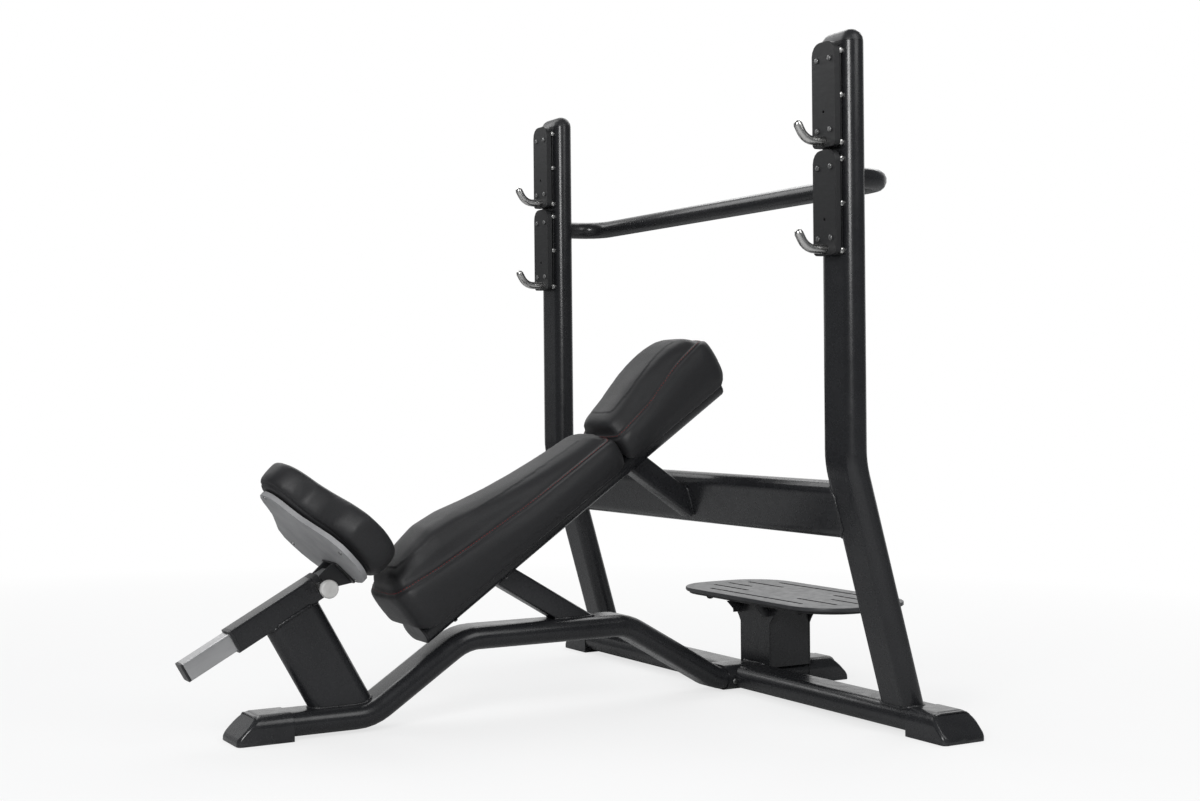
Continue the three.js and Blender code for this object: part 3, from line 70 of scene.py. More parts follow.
# %% Camera
lens = bpy.data.cameras.new("bench_view")
lens.sensor_width = 36
lens.lens = 51.18
EYE = (3.3261, -1.0914, 0.6924)
HEADING, DOWNWARDS, LEANING = 60.3886, 0.2347, -0.5248
camera = bpy.data.objects.new("bench_view", lens)
bpy.context.scene.collection.objects.link(camera)
heading = Matrix.Rotation(math.radians(HEADING), 4, "Z")
tilt = Matrix.Rotation(math.radians(90 - DOWNWARDS), 4, "X")
roll = Matrix.Rotation(math.radians(LEANING), 4, "Z")
camera.matrix_world = Matrix.Translation(EYE) @ heading @ tilt @ roll
bpy.context.scene.camera = camera
print("lens", round(lens.lens, 1), "mm, standing", round(camera.location.length, 2), "m away")

# %% [markdown]
# ## Helpers for objects
# Every new piece is shaped in a bmesh, turned into an object whose origin stays at the middle
# of the world, and set to ride on one of the bodies. A piece made in place needs no moving, and
# the patterns of its finish then line up with those of the solids.

# %% Object helpers
SAME_POINT = 2e-5
FLAT_ENOUGH = math.radians(0.8)


def new_object(name, work, material, smooth=40):
    """A bmesh made an object in one finish; edges sharper than smooth degrees stay crisp."""
    mesh = bpy.data.meshes.new(name)
    work.to_mesh(mesh)
    work.free()
    mesh.shade_smooth()
    mesh.set_sharp_from_angle(angle=math.radians(smooth))
    if material is not None:
        mesh.materials.append(material)
    return linked(name, mesh)


def linked(name, data):
    """A new object for this data, in the scene."""
    thing = bpy.data.objects.new(name, data)
    bpy.context.scene.collection.objects.link(thing)
    return thing


def opened(thing):
    """A bmesh of an object's own mesh, to work on."""
    work = bmesh.new()
    work.from_mesh(thing.data)
    return work


def put_back(work, thing):
    """Ends the work on a mesh that was opened."""
    work.to_mesh(thing.data)
    work.free()


def merged(node):
    """A bmesh of a solid with its loose triangles joined and its flat faces made whole."""
    work = opened(nodes[node])
    bmesh.ops.remove_doubles(work, verts=work.verts, dist=SAME_POINT)
    bmesh.ops.dissolve_limit(work, angle_limit=FLAT_ENOUGH, verts=work.verts, edges=work.edges)
    return work


def rounded(work, edges, by, steps, **settings):
    """Rounds edges of a bmesh by this much."""
    bmesh.ops.bevel(work, geom=edges, offset=by, segments=steps, profile=0.5, affect="EDGES",
                    material=-1, **settings)


def limited(value, low=0, high=1):
    """The value, or the nearer limit where it lies outside them."""
    return min(max(value, low), high)


def rest(thing, body):
    """Lets a finished piece ride on a body."""
    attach(thing, body)
    return thing


# %% [markdown]
# ## Helpers for finishes
# Each finish is one Principled shader with noise behind its colour, its roughness and its bump.
# All of them read Object coordinates, which are metres from the front foot on every piece here,
# so that one millimetre of grain is one millimetre on all of them.

# %% Finish helpers
class Nodes:
    """A node tree in the making: adds nodes and joins them by name or number."""

    def __init__(self, tree):
        self.tree = tree

    def node(self, kind, inputs=None, **settings):
        made = self.tree.nodes.new(kind)
        for key, value in settings.items():
            setattr(made, key, value)
        for key, value in (inputs or {}).items():
            if isinstance(value, bpy.types.NodeSocket):
                self.tree.links.new(value, made.inputs[key])
            else:
                made.inputs[key].default_value = value
        return made

    def spread(self, value, low, high, to_low=0.0, to_high=1.0, **settings):
        """A value's range moved to another range."""
        inputs = {"Value": value, 1: low, 2: high, 3: to_low, 4: to_high}
        return self.node("ShaderNodeMapRange", inputs, **settings).outputs[0]

    def maths(self, one, operation, other=0.0):
        return self.node("ShaderNodeMath", {0: one, 1: other}, operation=operation).outputs[0]

    def either(self, share, first, second):
        """One shader where share is 0 and the other where it is 1."""
        return self.node("ShaderNodeMixShader", {0: share, 1: first, 2: second}).outputs[0]


class Finish(Nodes):
    """A material in the making, round one Principled shader."""

    def __init__(self, name, colour, roughness, metallic=0.0):
        self.material = bpy.data.materials.new(name)
        self.material.use_nodes = True
        super().__init__(self.material.node_tree)
        self.shader = self.tree.nodes["Principled BSDF"]
        self.shader.inputs["Base Color"].default_value = (*colour, 1)
        self.shader.inputs["Roughness"].default_value = roughness
        self.shader.inputs["Metallic"].default_value = metallic
        self.place = self.tree.nodes.new("ShaderNodeTexCoord").outputs["Object"]
        self.last_bump = None

    def stretched(self, scale=(1, 1, 1), turn=(0, 0, 0)):
        turned = self.node("ShaderNodeMapping", {"Vector": self.place, "Rotation": turn})
        inputs = {"Vector": turned.outputs[0], "Scale": scale}
        return self.node("ShaderNodeMapping", inputs).outputs[0]

    def speckle(self, scale, detail=3.0, rough=0.55, place=None):
        inputs = {"Vector": place or self.place, "Scale": scale, "Detail": detail,
                  "Roughness": rough}
        return self.node("ShaderNodeTexNoise", inputs).outputs["Fac"]

    def cells(self, scale, feature="F1"):
        inputs = {"Vector": self.place, "Scale": scale}
        return self.node("ShaderNodeTexVoronoi", inputs, feature=feature).outputs["Distance"]

    def ribs(self, scale, direction, place=None):
        inputs = {"Vector": place or self.place, "Scale": scale}
        ribbed = self.node("ShaderNodeTexWave", inputs, bands_direction=direction)
        return ribbed.outputs["Fac"]

    def blend(self, share, first, second):
        mix = self.node("ShaderNodeMix", {0: share}, data_type="RGBA")
        for socket, colour in ((mix.inputs[6], first), (mix.inputs[7], second)):
            if isinstance(colour, bpy.types.NodeSocket):
                self.tree.links.new(colour, socket)
            else:
                socket.default_value = (*colour, 1)
        return mix.outputs[2]

    def colour(self, share, first, second):
        """The surface's colour: the first where share is 0, the second where it is 1."""
        mixed = self.blend(share, first, second)
        self.tree.links.new(mixed, self.shader.inputs["Base Color"])

    def roughness(self, value):
        self.tree.links.new(value, self.shader.inputs["Roughness"])

    def bump(self, height, depth, strength=1.0):
        inputs = {"Height": height, "Distance": depth, "Strength": strength}
        if self.last_bump is not None:
            inputs["Normal"] = self.last_bump
        self.last_bump = self.node("ShaderNodeBump", inputs).outputs[0]
        self.tree.links.new(self.last_bump, self.shader.inputs["Normal"])

    def worn_edges(self, low=0.6, high=0.78):
        """How bare an edge is rubbed, from 0 to 1, broken up as real rubbing is."""
        edge = self.node("ShaderNodeNewGeometry").outputs["Pointiness"]
        rubbed = self.spread(edge, low, high)
        return self.maths(rubbed, "MULTIPLY", self.spread(self.speckle(90, 5), 0.42, 0.62))


def shade(colour, times, plus=0.0):
    """The same colour made lighter or darker."""
    return tuple(c * times + plus for c in colour)


# %% [markdown]
# ## Powder coat
# The frame is sprayed with a polyester powder and baked. The skin is satin, with a very fine
# orange peel where the droplets flowed together, and it is a little thinner and paler on the
# edges. Grey dust dulls it in soft patches. Coarse noise makes the dust, and two fine ones make
# the peel, in metres of height, so that the highlights on the tubes stay long and soft.

# %% Powder coat
def powder_coat(name, colour, roughness, peel=0.0000035):
    coat = Finish(name, colour, roughness)
    dust = coat.spread(coat.speckle(5.5, 5, 0.6), 0.4, 0.75)
    dusty = coat.blend(dust, colour, shade(colour, 1.28, 0.002))
    coat.colour(coat.maths(coat.worn_edges(), "MULTIPLY", 0.35), dusty, shade(colour, 2.1, 0.01))
    coat.roughness(coat.spread(coat.speckle(38, 4), 0.3, 0.7, roughness - 0.035, roughness + 0.05))
    coat.bump(coat.speckle(620, 2, 0.5), peel)
    coat.bump(coat.speckle(2300, 1, 0.5), peel * 0.35)
    return coat.material


satin_black = powder_coat("satin_black_coat", (0.0115, 0.0118, 0.0132), 0.26)
matt_black = powder_coat("matt_black_coat", (0.0095, 0.0097, 0.0108), 0.4)
print("coats:", satin_black.name, matt_black.name)

# %% [markdown]
# ## Moulded black plastic
# The feet, the tube ends and the slide's guides are injection moulded. The tool was spark eroded,
# which leaves a fine even grain, and the floor and shoes scuff the lowest edges of the feet grey.
# Cell noise gives the grain, and height above the floor says where the scuffs are.

# %% Moulded plastic
def moulded(name, colour, roughness, scuffed=False, grain=0.000012):
    plastic = Finish(name, colour, roughness)
    tone = plastic.spread(plastic.speckle(9, 4), 0.35, 0.7)
    base = plastic.blend(tone, colour, shade(colour, 1.35, 0.002))
    wear = plastic.maths(plastic.worn_edges(0.58, 0.72), "MULTIPLY", 0.3)
    if scuffed:
        height = plastic.node("ShaderNodeSeparateXYZ", {0: plastic.place}).outputs[2]
        low = plastic.spread(height, 0.002, 0.016, 1.0, 0.0)
        streaks = plastic.speckle(30, 5, 0.7, plastic.stretched((1, 1, 7)))
        marks = plastic.maths(low, "MULTIPLY", plastic.spread(streaks, 0.5, 0.68, 0.0, 0.6))
        wear = plastic.maths(wear, "MAXIMUM", marks)
    plastic.colour(wear, base, shade(colour, 2.4, 0.03))
    smooth = (roughness - 0.05, roughness + 0.06)
    plastic.roughness(plastic.spread(plastic.speckle(55, 3), 0.3, 0.7, *smooth))
    plastic.bump(plastic.cells(1500), grain)
    plastic.bump(plastic.speckle(240, 3), grain)
    return plastic.material


foot_plastic = moulded("foot_plastic", (0.0135, 0.0138, 0.0152), 0.25, scuffed=True)
cap_plastic = moulded("cap_plastic", (0.0125, 0.0128, 0.014), 0.38)
print("plastics:", foot_plastic.name, cap_plastic.name)

# %% [markdown]
# ## Wear plates
# The bar knocks against thick polymer plates behind the hooks. They are cut from sheet, so they
# have a fine sawn tooth rather than a moulded grain, and the bar leaves dull smears across them.

# %% Wear plate polymer
sawn_black = (0.0105, 0.0107, 0.0115)
polymer = Finish("wear_plate_polymer", sawn_black, 0.5)
smears = polymer.speckle(26, 5, 0.65, polymer.stretched((1, 1, 5)))
smeared = polymer.spread(smears, 0.52, 0.72, 0.0, 0.4)
polymer.colour(smeared, sawn_black, (0.02, 0.02, 0.0215))
polymer.roughness(polymer.spread(smears, 0.4, 0.7, 0.52, 0.4))
polymer.bump(polymer.speckle(1100, 2, 0.6), 0.00004)
wear_polymer = polymer.material
print("wear plates:", wear_polymer.name)

# %% [markdown]
# ## Bare metals
# The hooks, the pull pin and the screws are stainless steel, bead blasted and then polished by
# the bars that run over them. The slide is drawn aluminium with an anodised skin, and its die
# leaves straight lines along it, so its noise is stretched along the slope that it slides on.

# %% Stainless steel and aluminium
def stainless(name, colour=(0.7, 0.695, 0.68), roughness=0.23):
    steel = Finish(name, colour, roughness, metallic=1.0)
    steel.colour(steel.spread(steel.speckle(60, 4), 0.3, 0.7), colour, shade(colour, 0.82))
    polish = (roughness - 0.07, roughness + 0.09)
    steel.roughness(steel.spread(steel.speckle(140, 4), 0.3, 0.7, *polish))
    steel.bump(steel.speckle(1400, 3, 0.6), 0.000012)
    return steel.material


hook_steel = stainless("hook_steel")
screw_steel = stainless("screw_steel", (0.3, 0.3, 0.3), 0.36)

ALONG_SLIDE = (-math.radians(28.9512), 0, 0)
drawn = Finish("drawn_aluminium", (0.45, 0.45, 0.455), 0.34, metallic=1.0)
die_lines = drawn.speckle(900, 3, 0.6, drawn.stretched((1, 0.012, 1), ALONG_SLIDE))
worn_track = drawn.speckle(22, 4, 0.6, drawn.stretched((1, 0.2, 1), ALONG_SLIDE))
drawn.colour(drawn.spread(worn_track, 0.35, 0.7), (0.62, 0.62, 0.625), (0.5, 0.5, 0.508))
drawn.roughness(drawn.spread(die_lines, 0.3, 0.7, 0.28, 0.42))
drawn.bump(die_lines, 0.00003)
drawn_aluminium = drawn.material
print("metals:", hook_steel.name, screw_steel.name, drawn_aluminium.name)

# %% [markdown]
# ## Tread plate, rubber, board and knob
# The platform's tread is an aluminium plate with a black anodised skin. Shoes polish it, so it
# looks paler than the frame wherever light grazes it. Whatever lies below the plate's face, inside
# its rim, is painted nearly black as the shade down in its slots. The buffers under it are cast
# rubber. The seat's board is covered with a pale woven backing cloth, and the knob is a light
# plastic ball.

# %% Tread plate, rubber, board and knob
PLATE_MIDDLE_Y = 1.318
PLATE_STRAIGHT = 0.167
PLATE_INSIDE_RIM = 0.138
PLATE_FACE_Z = 0.21145
tread = Finish("tread_plate", (0.05, 0.051, 0.054), 0.33, metallic=0.45)
trodden = tread.spread(tread.speckle(7, 5, 0.6), 0.38, 0.7)
spot = tread.node("ShaderNodeSeparateXYZ", {0: tread.place}).outputs
across = tread.maths(tread.maths(spot[0], "ABSOLUTE"), "SUBTRACT", PLATE_STRAIGHT)
past_middle = tread.maths(across, "MAXIMUM")
from_middle = tread.maths(spot[1], "SUBTRACT", PLATE_MIDDLE_Y)
offset = tread.node("ShaderNodeCombineXYZ", {0: past_middle, 1: from_middle}).outputs[0]
reach = tread.node("ShaderNodeVectorMath", {0: offset}, operation="LENGTH").outputs["Value"]
inside = tread.maths(reach, "LESS_THAN", PLATE_INSIDE_RIM)
# Painted shade: below the plate's face and inside its rim the colour is nearly black, for the shade
# in the slots.
slot_painted_shade = tread.maths(inside, "MULTIPLY", tread.maths(spot[2], "LESS_THAN", PLATE_FACE_Z))
plain_top = tread.blend(trodden, (0.045, 0.046, 0.049), (0.085, 0.086, 0.09))
tread.colour(slot_painted_shade, plain_top, (0.003, 0.003, 0.003))
tread.roughness(tread.spread(tread.speckle(48, 5, 0.65), 0.3, 0.7, 0.3, 0.44))
tread.bump(tread.speckle(1100, 2, 0.5), 0.00004)
tread_plate = tread.material

cast = Finish("cast_rubber", (0.012, 0.012, 0.0125), 0.72)
bloom = cast.spread(cast.speckle(70, 4), 0.4, 0.7)
cast.colour(bloom, (0.011, 0.011, 0.0115), (0.03, 0.03, 0.031))
cast.bump(cast.speckle(700, 3), 0.00008)
buffer_rubber = cast.material

backing = Finish("board_backing", (0.26, 0.26, 0.265), 0.82)
board_tilt = (math.radians(45), 0, 0)
weft = backing.ribs(330.0, "X")
warp = backing.ribs(330.0, "Y", backing.stretched(turn=board_tilt))
woven = backing.maths(weft, "MAXIMUM", warp)
grey_patch = backing.spread(backing.speckle(12, 4), 0.35, 0.7)
backing.colour(grey_patch, (0.29, 0.29, 0.295), (0.215, 0.215, 0.22))
backing.bump(woven, 0.00012)
backing.bump(backing.speckle(160, 4), 0.00015)
board_backing = backing.material

ball = Finish("knob_plastic", (0.6, 0.595, 0.585), 0.34)
handled = ball.spread(ball.speckle(45, 4), 0.4, 0.7)
ball.colour(handled, (0.52, 0.515, 0.505), (0.42, 0.415, 0.405))
ball.roughness(ball.spread(ball.speckle(160, 3), 0.3, 0.7, 0.28, 0.42))
ball.bump(ball.speckle(900, 2), 0.00003)
knob_plastic = ball.material
print("others:", tread_plate.name, buffer_rubber.name, board_backing.name, knob_plastic.name)

# %% [markdown]
# ## Upholstery vinyl and its thread
# The pads are covered in a black vinyl, embossed with a leather grain of about a millimetre.
# It is soft and matt in the valleys of the grain and slightly shiny on the tops, and it takes a
# polish where the lifter lies. The thread is a thick red polyester.

# %% Vinyl and thread
vinyl = Finish("black_vinyl", (0.0155, 0.0155, 0.0168), 0.46)
pebbles = vinyl.cells(820, "SMOOTH_F1")
creases = vinyl.speckle(420, 4, 0.62)
polish = vinyl.spread(vinyl.speckle(7.5, 4, 0.55), 0.38, 0.68, 0.0, -0.05)
vinyl.colour(vinyl.spread(pebbles, 0.1, 0.6), (0.0185, 0.0185, 0.02), (0.012, 0.012, 0.0132))
vinyl.roughness(vinyl.maths(vinyl.spread(pebbles, 0.0, 0.6, 0.42, 0.56), "ADD", polish))
vinyl.bump(pebbles, 0.00016, 0.8)
vinyl.bump(creases, 0.00012, 0.6)
vinyl.shader.inputs["Sheen Weight"].default_value = 0.02
vinyl.shader.inputs["Specular IOR Level"].default_value = 0.4
vinyl.shader.inputs["Sheen Roughness"].default_value = 0.45
black_vinyl = vinyl.material

thread = Finish("red_thread", (0.26, 0.014, 0.014), 0.66)
twist = thread.ribs(900.0, "DIAGONAL")
thread.colour(twist, (0.18, 0.01, 0.01), (0.32, 0.02, 0.018))
thread.bump(twist, 0.0001)
red_thread = thread.material
print("upholstery:", black_vinyl.name, red_thread.name)

# %% [markdown]
# ## Dressing the solids
# The welded tubes, plates and mouldings already have the right shape, but each is a shell of
# loose flat triangles. Five modifiers make it read as metal without touching it: Weld joins the
# triangles, a planar Decimate makes each flat face whole, a Bevel rounds the sheared edges, a
# small node group keeps sharp edges crisp, and Weighted Normal keeps the broad faces flat while
# the tube's round sides shade smoothly.

# %% Soft edges for solids
def smooth_by_angle(degrees):
    """A node group that shades faces smoothly and keeps edges sharper than this crisp."""
    group = bpy.data.node_groups.new(f"smooth_{degrees}", "GeometryNodeTree")
    for way in ("INPUT", "OUTPUT"):
        group.interface.new_socket("Geometry", in_out=way, socket_type="NodeSocketGeometry")
    tree = Nodes(group)
    solid = tree.node("NodeGroupInput").outputs[0]
    angle = tree.node("GeometryNodeInputMeshEdgeAngle").outputs["Unsigned Angle"]
    sharper = tree.node("FunctionNodeCompare", {0: angle, 1: math.radians(degrees)},
                        operation="GREATER_THAN").outputs[0]
    smooth = tree.node("GeometryNodeSetShadeSmooth", {"Geometry": solid}, domain="FACE").outputs[0]
    inputs = {"Geometry": smooth, "Selection": sharper, "Shade Smooth": False}
    crisp = tree.node("GeometryNodeSetShadeSmooth", inputs, domain="EDGE").outputs[0]
    tree.node("NodeGroupOutput", {0: crisp})
    return group


def keep_faces_flat(thing):
    weighted = thing.modifiers.new("flat faces", "WEIGHTED_NORMAL")
    weighted.keep_sharp = True
    return weighted


crisp_over_40 = smooth_by_angle(40)


def dress(names, material, edge=0.0008):
    for name in names:
        thing = nodes[name]
        thing.data.materials.clear()
        thing.data.materials.append(material)
        weld = thing.modifiers.new("join", "WELD")
        weld.merge_threshold = SAME_POINT
        flat = thing.modifiers.new("whole faces", "DECIMATE")
        flat.decimate_type = "DISSOLVE"
        flat.angle_limit = FLAT_ENOUGH
        bevel = thing.modifiers.new("soft edge", "BEVEL")
        bevel.width = edge
        bevel.segments = 2
        bevel.limit_method = "ANGLE"
        bevel.angle_limit = math.radians(42)
        thing.modifiers.new("shade", "NODES").node_group = crisp_over_40
        keep_faces_flat(thing).weight = 80
    print(len(names), "solids in", material.name)


sides = ("left", "right")
levels = ("lower", "upper")
racks = [f"{side}_{level}" for side in sides for level in levels]
tubes = ["rear_crossbar", "spine", "rear_extension", "spine_collar", "left_upright",
         "right_upright", "mid_crossbar", "upper_bar", "front_post", "seat_sleeve",
         "backrest_tube", "upper_strut", "lower_strut"]
sheets = [f"pedestal_{wall}_wall" for wall in ("front", "rear", "left", "right")]
dress(tubes + sheets, satin_black)
dress([f"{rack}_rack_bracket" for rack in racks] + ["seat_bracket", "platform_sheet"], matt_black)
dress(["left_upright_cap", "right_upright_cap", "backrest_lower_cap", "backrest_upper_cap",
       "sleeve_lower_guide", "sleeve_upper_guide", "seat_slide_plug"], cap_plastic, 0.0009)
dress([f"{rack}_wear_plate" for rack in racks], wear_polymer, 0.0012)
dress([f"{rack}_bar_hook" for rack in racks] + ["pull_pin", "pull_pin_barrel"], hook_steel, 0.0005)
dress(["seat_slide"], drawn_aluminium, 0.0006)
dress(["platform_plate"], tread_plate, 0.0006)
dress([f"buffer_{end}_{side}" for end in ("front", "rear") for side in sides], buffer_rubber)
dress(["seat_board"], board_backing, 0.0012)
dress(["pull_pin_knob"], knob_plastic, 0.0008)

# %% [markdown]
# ## The pin spring
# The coil spring sits round the pin, between the pin's collar and the barrel's outer wall. When
# the knob is pulled the collar comes outwards, so a rigid spring would be cut through. Here a
# copy of the coil, with a mesh of its own, rides on the frame in its place, and the imported
# coil is hidden.

# %% Pin spring
low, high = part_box("pull_pin_spring")
pin_spring = new_object("pin_spring", merged("pull_pin_spring"), hook_steel, 50)
rest(pin_spring, "frame")
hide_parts("pull_pin_spring")
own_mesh(pin_spring)

# %% [markdown]
# ## Feet
# Each foot is a moulded shoe over the end of a tube: round shoulders like the tube's own, a toe
# that slopes to the floor, and generous soft edges, because a shin meets them. A block with its
# two long top edges rounded gives the section. A plane cuts the slope, and a second, smaller
# round runs round everything at the toe. The imported foot is hidden. The imported foot stays
# for collision.

# %% Moulded feet
FOOT_SIZE = (0.108, 0.118, 0.0575)
SHOULDER = 0.0265
TOE, BROW = Vector((0, -FOOT_SIZE[1] / 2, 0.012)), Vector((0, -0.0213, 0.0497))
TOE_CORNER, TOE_EDGE, LIP = 0.011, 0.0075, 0.0014
SHARP = 0.35
VERY_SHARP = 0.9


def span(edge, way):
    """How far an edge reaches along x, y or z (0, 1 or 2)."""
    return abs(edge.verts[0].co[way] - edge.verts[1].co[way])


def sliced(work, point, direction, **settings):
    """Cuts a bmesh with a plane and gives the edges along the cut."""
    everything = work.verts[:] + work.edges[:] + work.faces[:]
    cut = bmesh.ops.bisect_plane(work, geom=everything, dist=1e-6, plane_co=point,
                                 plane_no=direction, **settings)["geom_cut"]
    return [part for part in cut if isinstance(part, bmesh.types.BMEdge)]


def foot(node, toe_way):
    work = bmesh.new()
    bmesh.ops.create_cube(work, size=1)
    bmesh.ops.scale(work, vec=FOOT_SIZE, verts=work.verts)
    bmesh.ops.translate(work, vec=(0, 0, FOOT_SIZE[2] / 2), verts=work.verts)
    top = [e for e in work.edges if span(e, 1) > 0.1 and e.verts[0].co.z > 0.05]
    rounded(work, top, SHOULDER, 8, clamp_overlap=True)

    slope = Vector((0, TOE.z - BROW.z, BROW.y - TOE.y)).normalized()
    bmesh.ops.edgeloop_fill(work, edges=sliced(work, TOE, slope, clear_outer=True))
    bmesh.ops.recalc_face_normals(work, faces=work.faces)

    corners = [e for e in work.edges if span(e, 2) > 0.01 and max(v.co.y for v in e.verts) < -0.058]
    rounded(work, corners, TOE_CORNER, 4, clamp_overlap=True)
    at_toe = [e for e in work.edges if e.calc_face_angle(0) > SHARP
              and min(v.co.z for v in e.verts) > 0.009 and max(v.co.y for v in e.verts) < 0.03]
    rounded(work, at_toe, TOE_EDGE, 5, clamp_overlap=True)
    lips = [e for e in work.edges if e.calc_face_angle(0) > VERY_SHARP]
    rounded(work, lips, LIP, 2, clamp_overlap=True)

    low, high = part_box(node)
    middle = (Vector(low) + Vector(high)) / 2
    turn = math.atan2(toe_way[1], toe_way[0]) + math.pi / 2
    place = Matrix.Translation((middle.x, middle.y, 0)) @ Matrix.Rotation(turn, 4, "Z")
    bmesh.ops.transform(work, matrix=place, verts=work.verts)
    shoe = new_object(f"{node}_shoe", work, foot_plastic, 30)
    keep_faces_flat(shoe)
    rest(shoe, "frame")
    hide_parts(node)
    print(shoe.name, len(shoe.data.polygons), "faces")


foot("front_foot", (0, -1))
foot("rear_foot", (0, 1))
foot("right_foot", (1, 0))
foot("left_foot", (-1, 0))

# %% [markdown]
# ## The slopes
# The backrest lies in a plane that rises to the rear, and the seat in one that falls to the
# rear. A place on either is easiest to give as across, along and above that plane, so two
# small functions turn such a place into the shared frame.

# %% Places on the slopes
BACK_SLOPE = math.radians(34.73)
SEAT_SLOPE = math.radians(45)
BACK_UP = Vector((0, -math.sin(BACK_SLOPE), math.cos(BACK_SLOPE)))
SEAT_UP = Vector((0, math.sin(SEAT_SLOPE), math.cos(SEAT_SLOPE)))
SEAT_DOWN_SLOPE = Vector((0, math.cos(SEAT_SLOPE), -math.sin(SEAT_SLOPE)))
SEAT_BASE = 370


def on_back(across, along, above):
    """A place in metres from millimetres across, up along and above the backrest's plane."""
    c, s = math.cos(BACK_SLOPE), math.sin(BACK_SLOPE)
    return Vector((across, along * c - above * s, along * s + above * c)) / 1000


def on_seat(across, along, above):
    """The same for the seat's plane, where along runs down to the rear."""
    c, s = math.cos(SEAT_SLOPE), math.sin(SEAT_SLOPE)
    return Vector((across, along * c + above * s, -along * s + above * c)) / 1000


print("backrest starts at", [round(v, 3) for v in on_back(0, 378, 0)])

# %% [markdown]
# ## Foam under vinyl
# A real pad is a block of moulded foam on a board, with the cover pulled over it. The packed
# model has the pad's plain outline. Here each outline is shrunk a little, remeshed into even
# squares and blown up again as cloth under pressure, so that its corners round off and its broad
# faces swell as a stuffed cover does. The base stays flat, because the board holds it.
# How far a point may move is capped, and one subdivision smooths the result.

# %% Stuff a cover
CLOTH_STEPS = 20
SMOOTHINGS = 8


def held_by_board(point, origin, up, lowest, highest):
    """True for the points of a cover that its board and its tube keep in place."""
    return lowest <= (point - origin).dot(up) <= highest


def stuffed(node, name, board, square=0.006, shrink=0.0025, swell=0.005):
    work = merged(node)
    bmesh.ops.triangulate(work, faces=work.faces)
    work.normal_update()
    push(work, [-shrink] * len(work.verts))
    cover = new_object(name, work, black_vinyl, 180)
    remesh = cover.modifiers.new("even squares", "REMESH")
    remesh.mode = "VOXEL"
    remesh.voxel_size = square
    settle(cover)
    work = opened(cover)
    for _ in range(3):
        bmesh.ops.smooth_vert(work, verts=work.verts, factor=0.5, use_axis_x=True,
                              use_axis_y=True, use_axis_z=True)
    put_back(work, cover)
    swell_cover(cover, board, shrink, swell)
    finer = cover.modifiers.new("finer", "SUBSURF")
    finer.levels = finer.render_levels = 1
    settle(cover)
    print(name, len(cover.data.polygons), "faces of vinyl")
    return cover


def push(work, lifts):
    """Moves each point of a bmesh along its normal by its own distance."""
    steps = [v.normal * rise for v, rise in zip(work.verts, lifts)]
    for v, step in zip(work.verts, steps):
        v.co += step


def settle(thing):
    """Applies an object's modifiers by taking the mesh that they give."""
    graph = bpy.context.evaluated_depsgraph_get()
    made = bpy.data.meshes.new_from_object(thing.evaluated_get(graph))
    thing.modifiers.clear()
    thing.data = made
    made.shade_smooth()


def swell_cover(cover, board, shrink, cap):
    """Blows the cover up as cloth; every point moves outwards only, and not past the cap."""
    started = [v.co.copy() for v in cover.data.vertices]
    held = [v.index for v in cover.data.vertices if held_by_board(v.co, *board)]
    pinned = cover.vertex_groups.new(name="board")
    pinned.add(held, 1.0, "REPLACE")
    cloth = cover.modifiers.new("stuffing", "CLOTH")
    fabric = cloth.settings
    fabric.quality = 4
    fabric.mass = 0.4
    fabric.tension_stiffness = fabric.compression_stiffness = 12
    fabric.bending_stiffness = 2.5
    fabric.use_pressure = True
    fabric.uniform_pressure_force = 4
    fabric.effector_weights.gravity = 0
    fabric.vertex_group_mass = "board"
    cloth.collision_settings.use_self_collision = False
    scene = bpy.context.scene
    for step in range(1, CLOTH_STEPS + 1):
        scene.frame_set(step)
    graph = bpy.context.evaluated_depsgraph_get()
    blown = cover.evaluated_get(graph).data
    moved = [v.co.copy() for v in blown.vertices]
    cover.modifiers.clear()
    cover.vertex_groups.clear()
    work = opened(cover)
    work.verts.ensure_lookup_table()
    fixed = set(held)
    risen = [max((after - before).dot(v.normal), 0) + shrink
             for v, before, after in zip(work.verts, started, moved)]
    lift = [0.0 if i in fixed else min(rise, cap) for i, rise in enumerate(risen)]
    furthest = max(lift)
    neighbours = [[e.other_vert(v).index for e in v.link_edges] for v in work.verts]
    for _ in range(SMOOTHINGS):
        lift = [0.0 if i in fixed else (lift[i] + sum(lift[j] for j in near)) / (1 + len(near))
                for i, near in enumerate(neighbours)]
    push(work, lift)
    put_back(work, cover)
    scene.frame_set(1)
    print(cover.name, "swelled up to", round(furthest * 1000, 1), "mm, kept within", cap * 1000)


back_board = (on_back(0, 0, 0), BACK_UP, -0.04, -0.012)
seat_board = (on_seat(0, 0, SEAT_BASE), SEAT_UP, -0.01, 0.004)
SHOULDER_AT_NOSE, SHOULDER_GAIN = 0.048, 0.02
TAIL_FROM, TAIL_SHARE = 0.7, 0.3
TOP_FROM, TOP_DEPTH = 0.018, 0.032


def crowned(cover, rise=0.009, boxier=0.0084, flatter=0.6, nose=-0.362, tail=-0.067):
    """Fills the seat's top: a little higher in the middle, with shoulders nearly as high."""
    origin = on_seat(0, 0, SEAT_BASE)
    for vertex in cover.data.vertices:
        away = vertex.co - origin
        height = away.dot(SEAT_UP)
        share = limited((away.dot(SEAT_DOWN_SLOPE) - nose) / (tail - nose))
        shoulder = SHOULDER_AT_NOSE + SHOULDER_GAIN * share
        room = 1 - limited((share - TAIL_FROM) / TAIL_SHARE)
        near_top = limited((height - TOP_FROM) / TOP_DEPTH)
        lifted = (rise * math.sin(math.pi * share) ** 0.7 + boxier * room) * near_top
        pressed = flatter * room * max(height - shoulder, 0)
        vertex.co += SEAT_UP * (lifted - pressed)


covers = {
    "back_pad": stuffed("back_pad", "back_cover", back_board),
    "head_pad": stuffed("head_pad", "head_cover", back_board),
    "seat_pad": stuffed("seat_pad", "seat_cover", seat_board),
}
crowned(covers["seat_pad"])

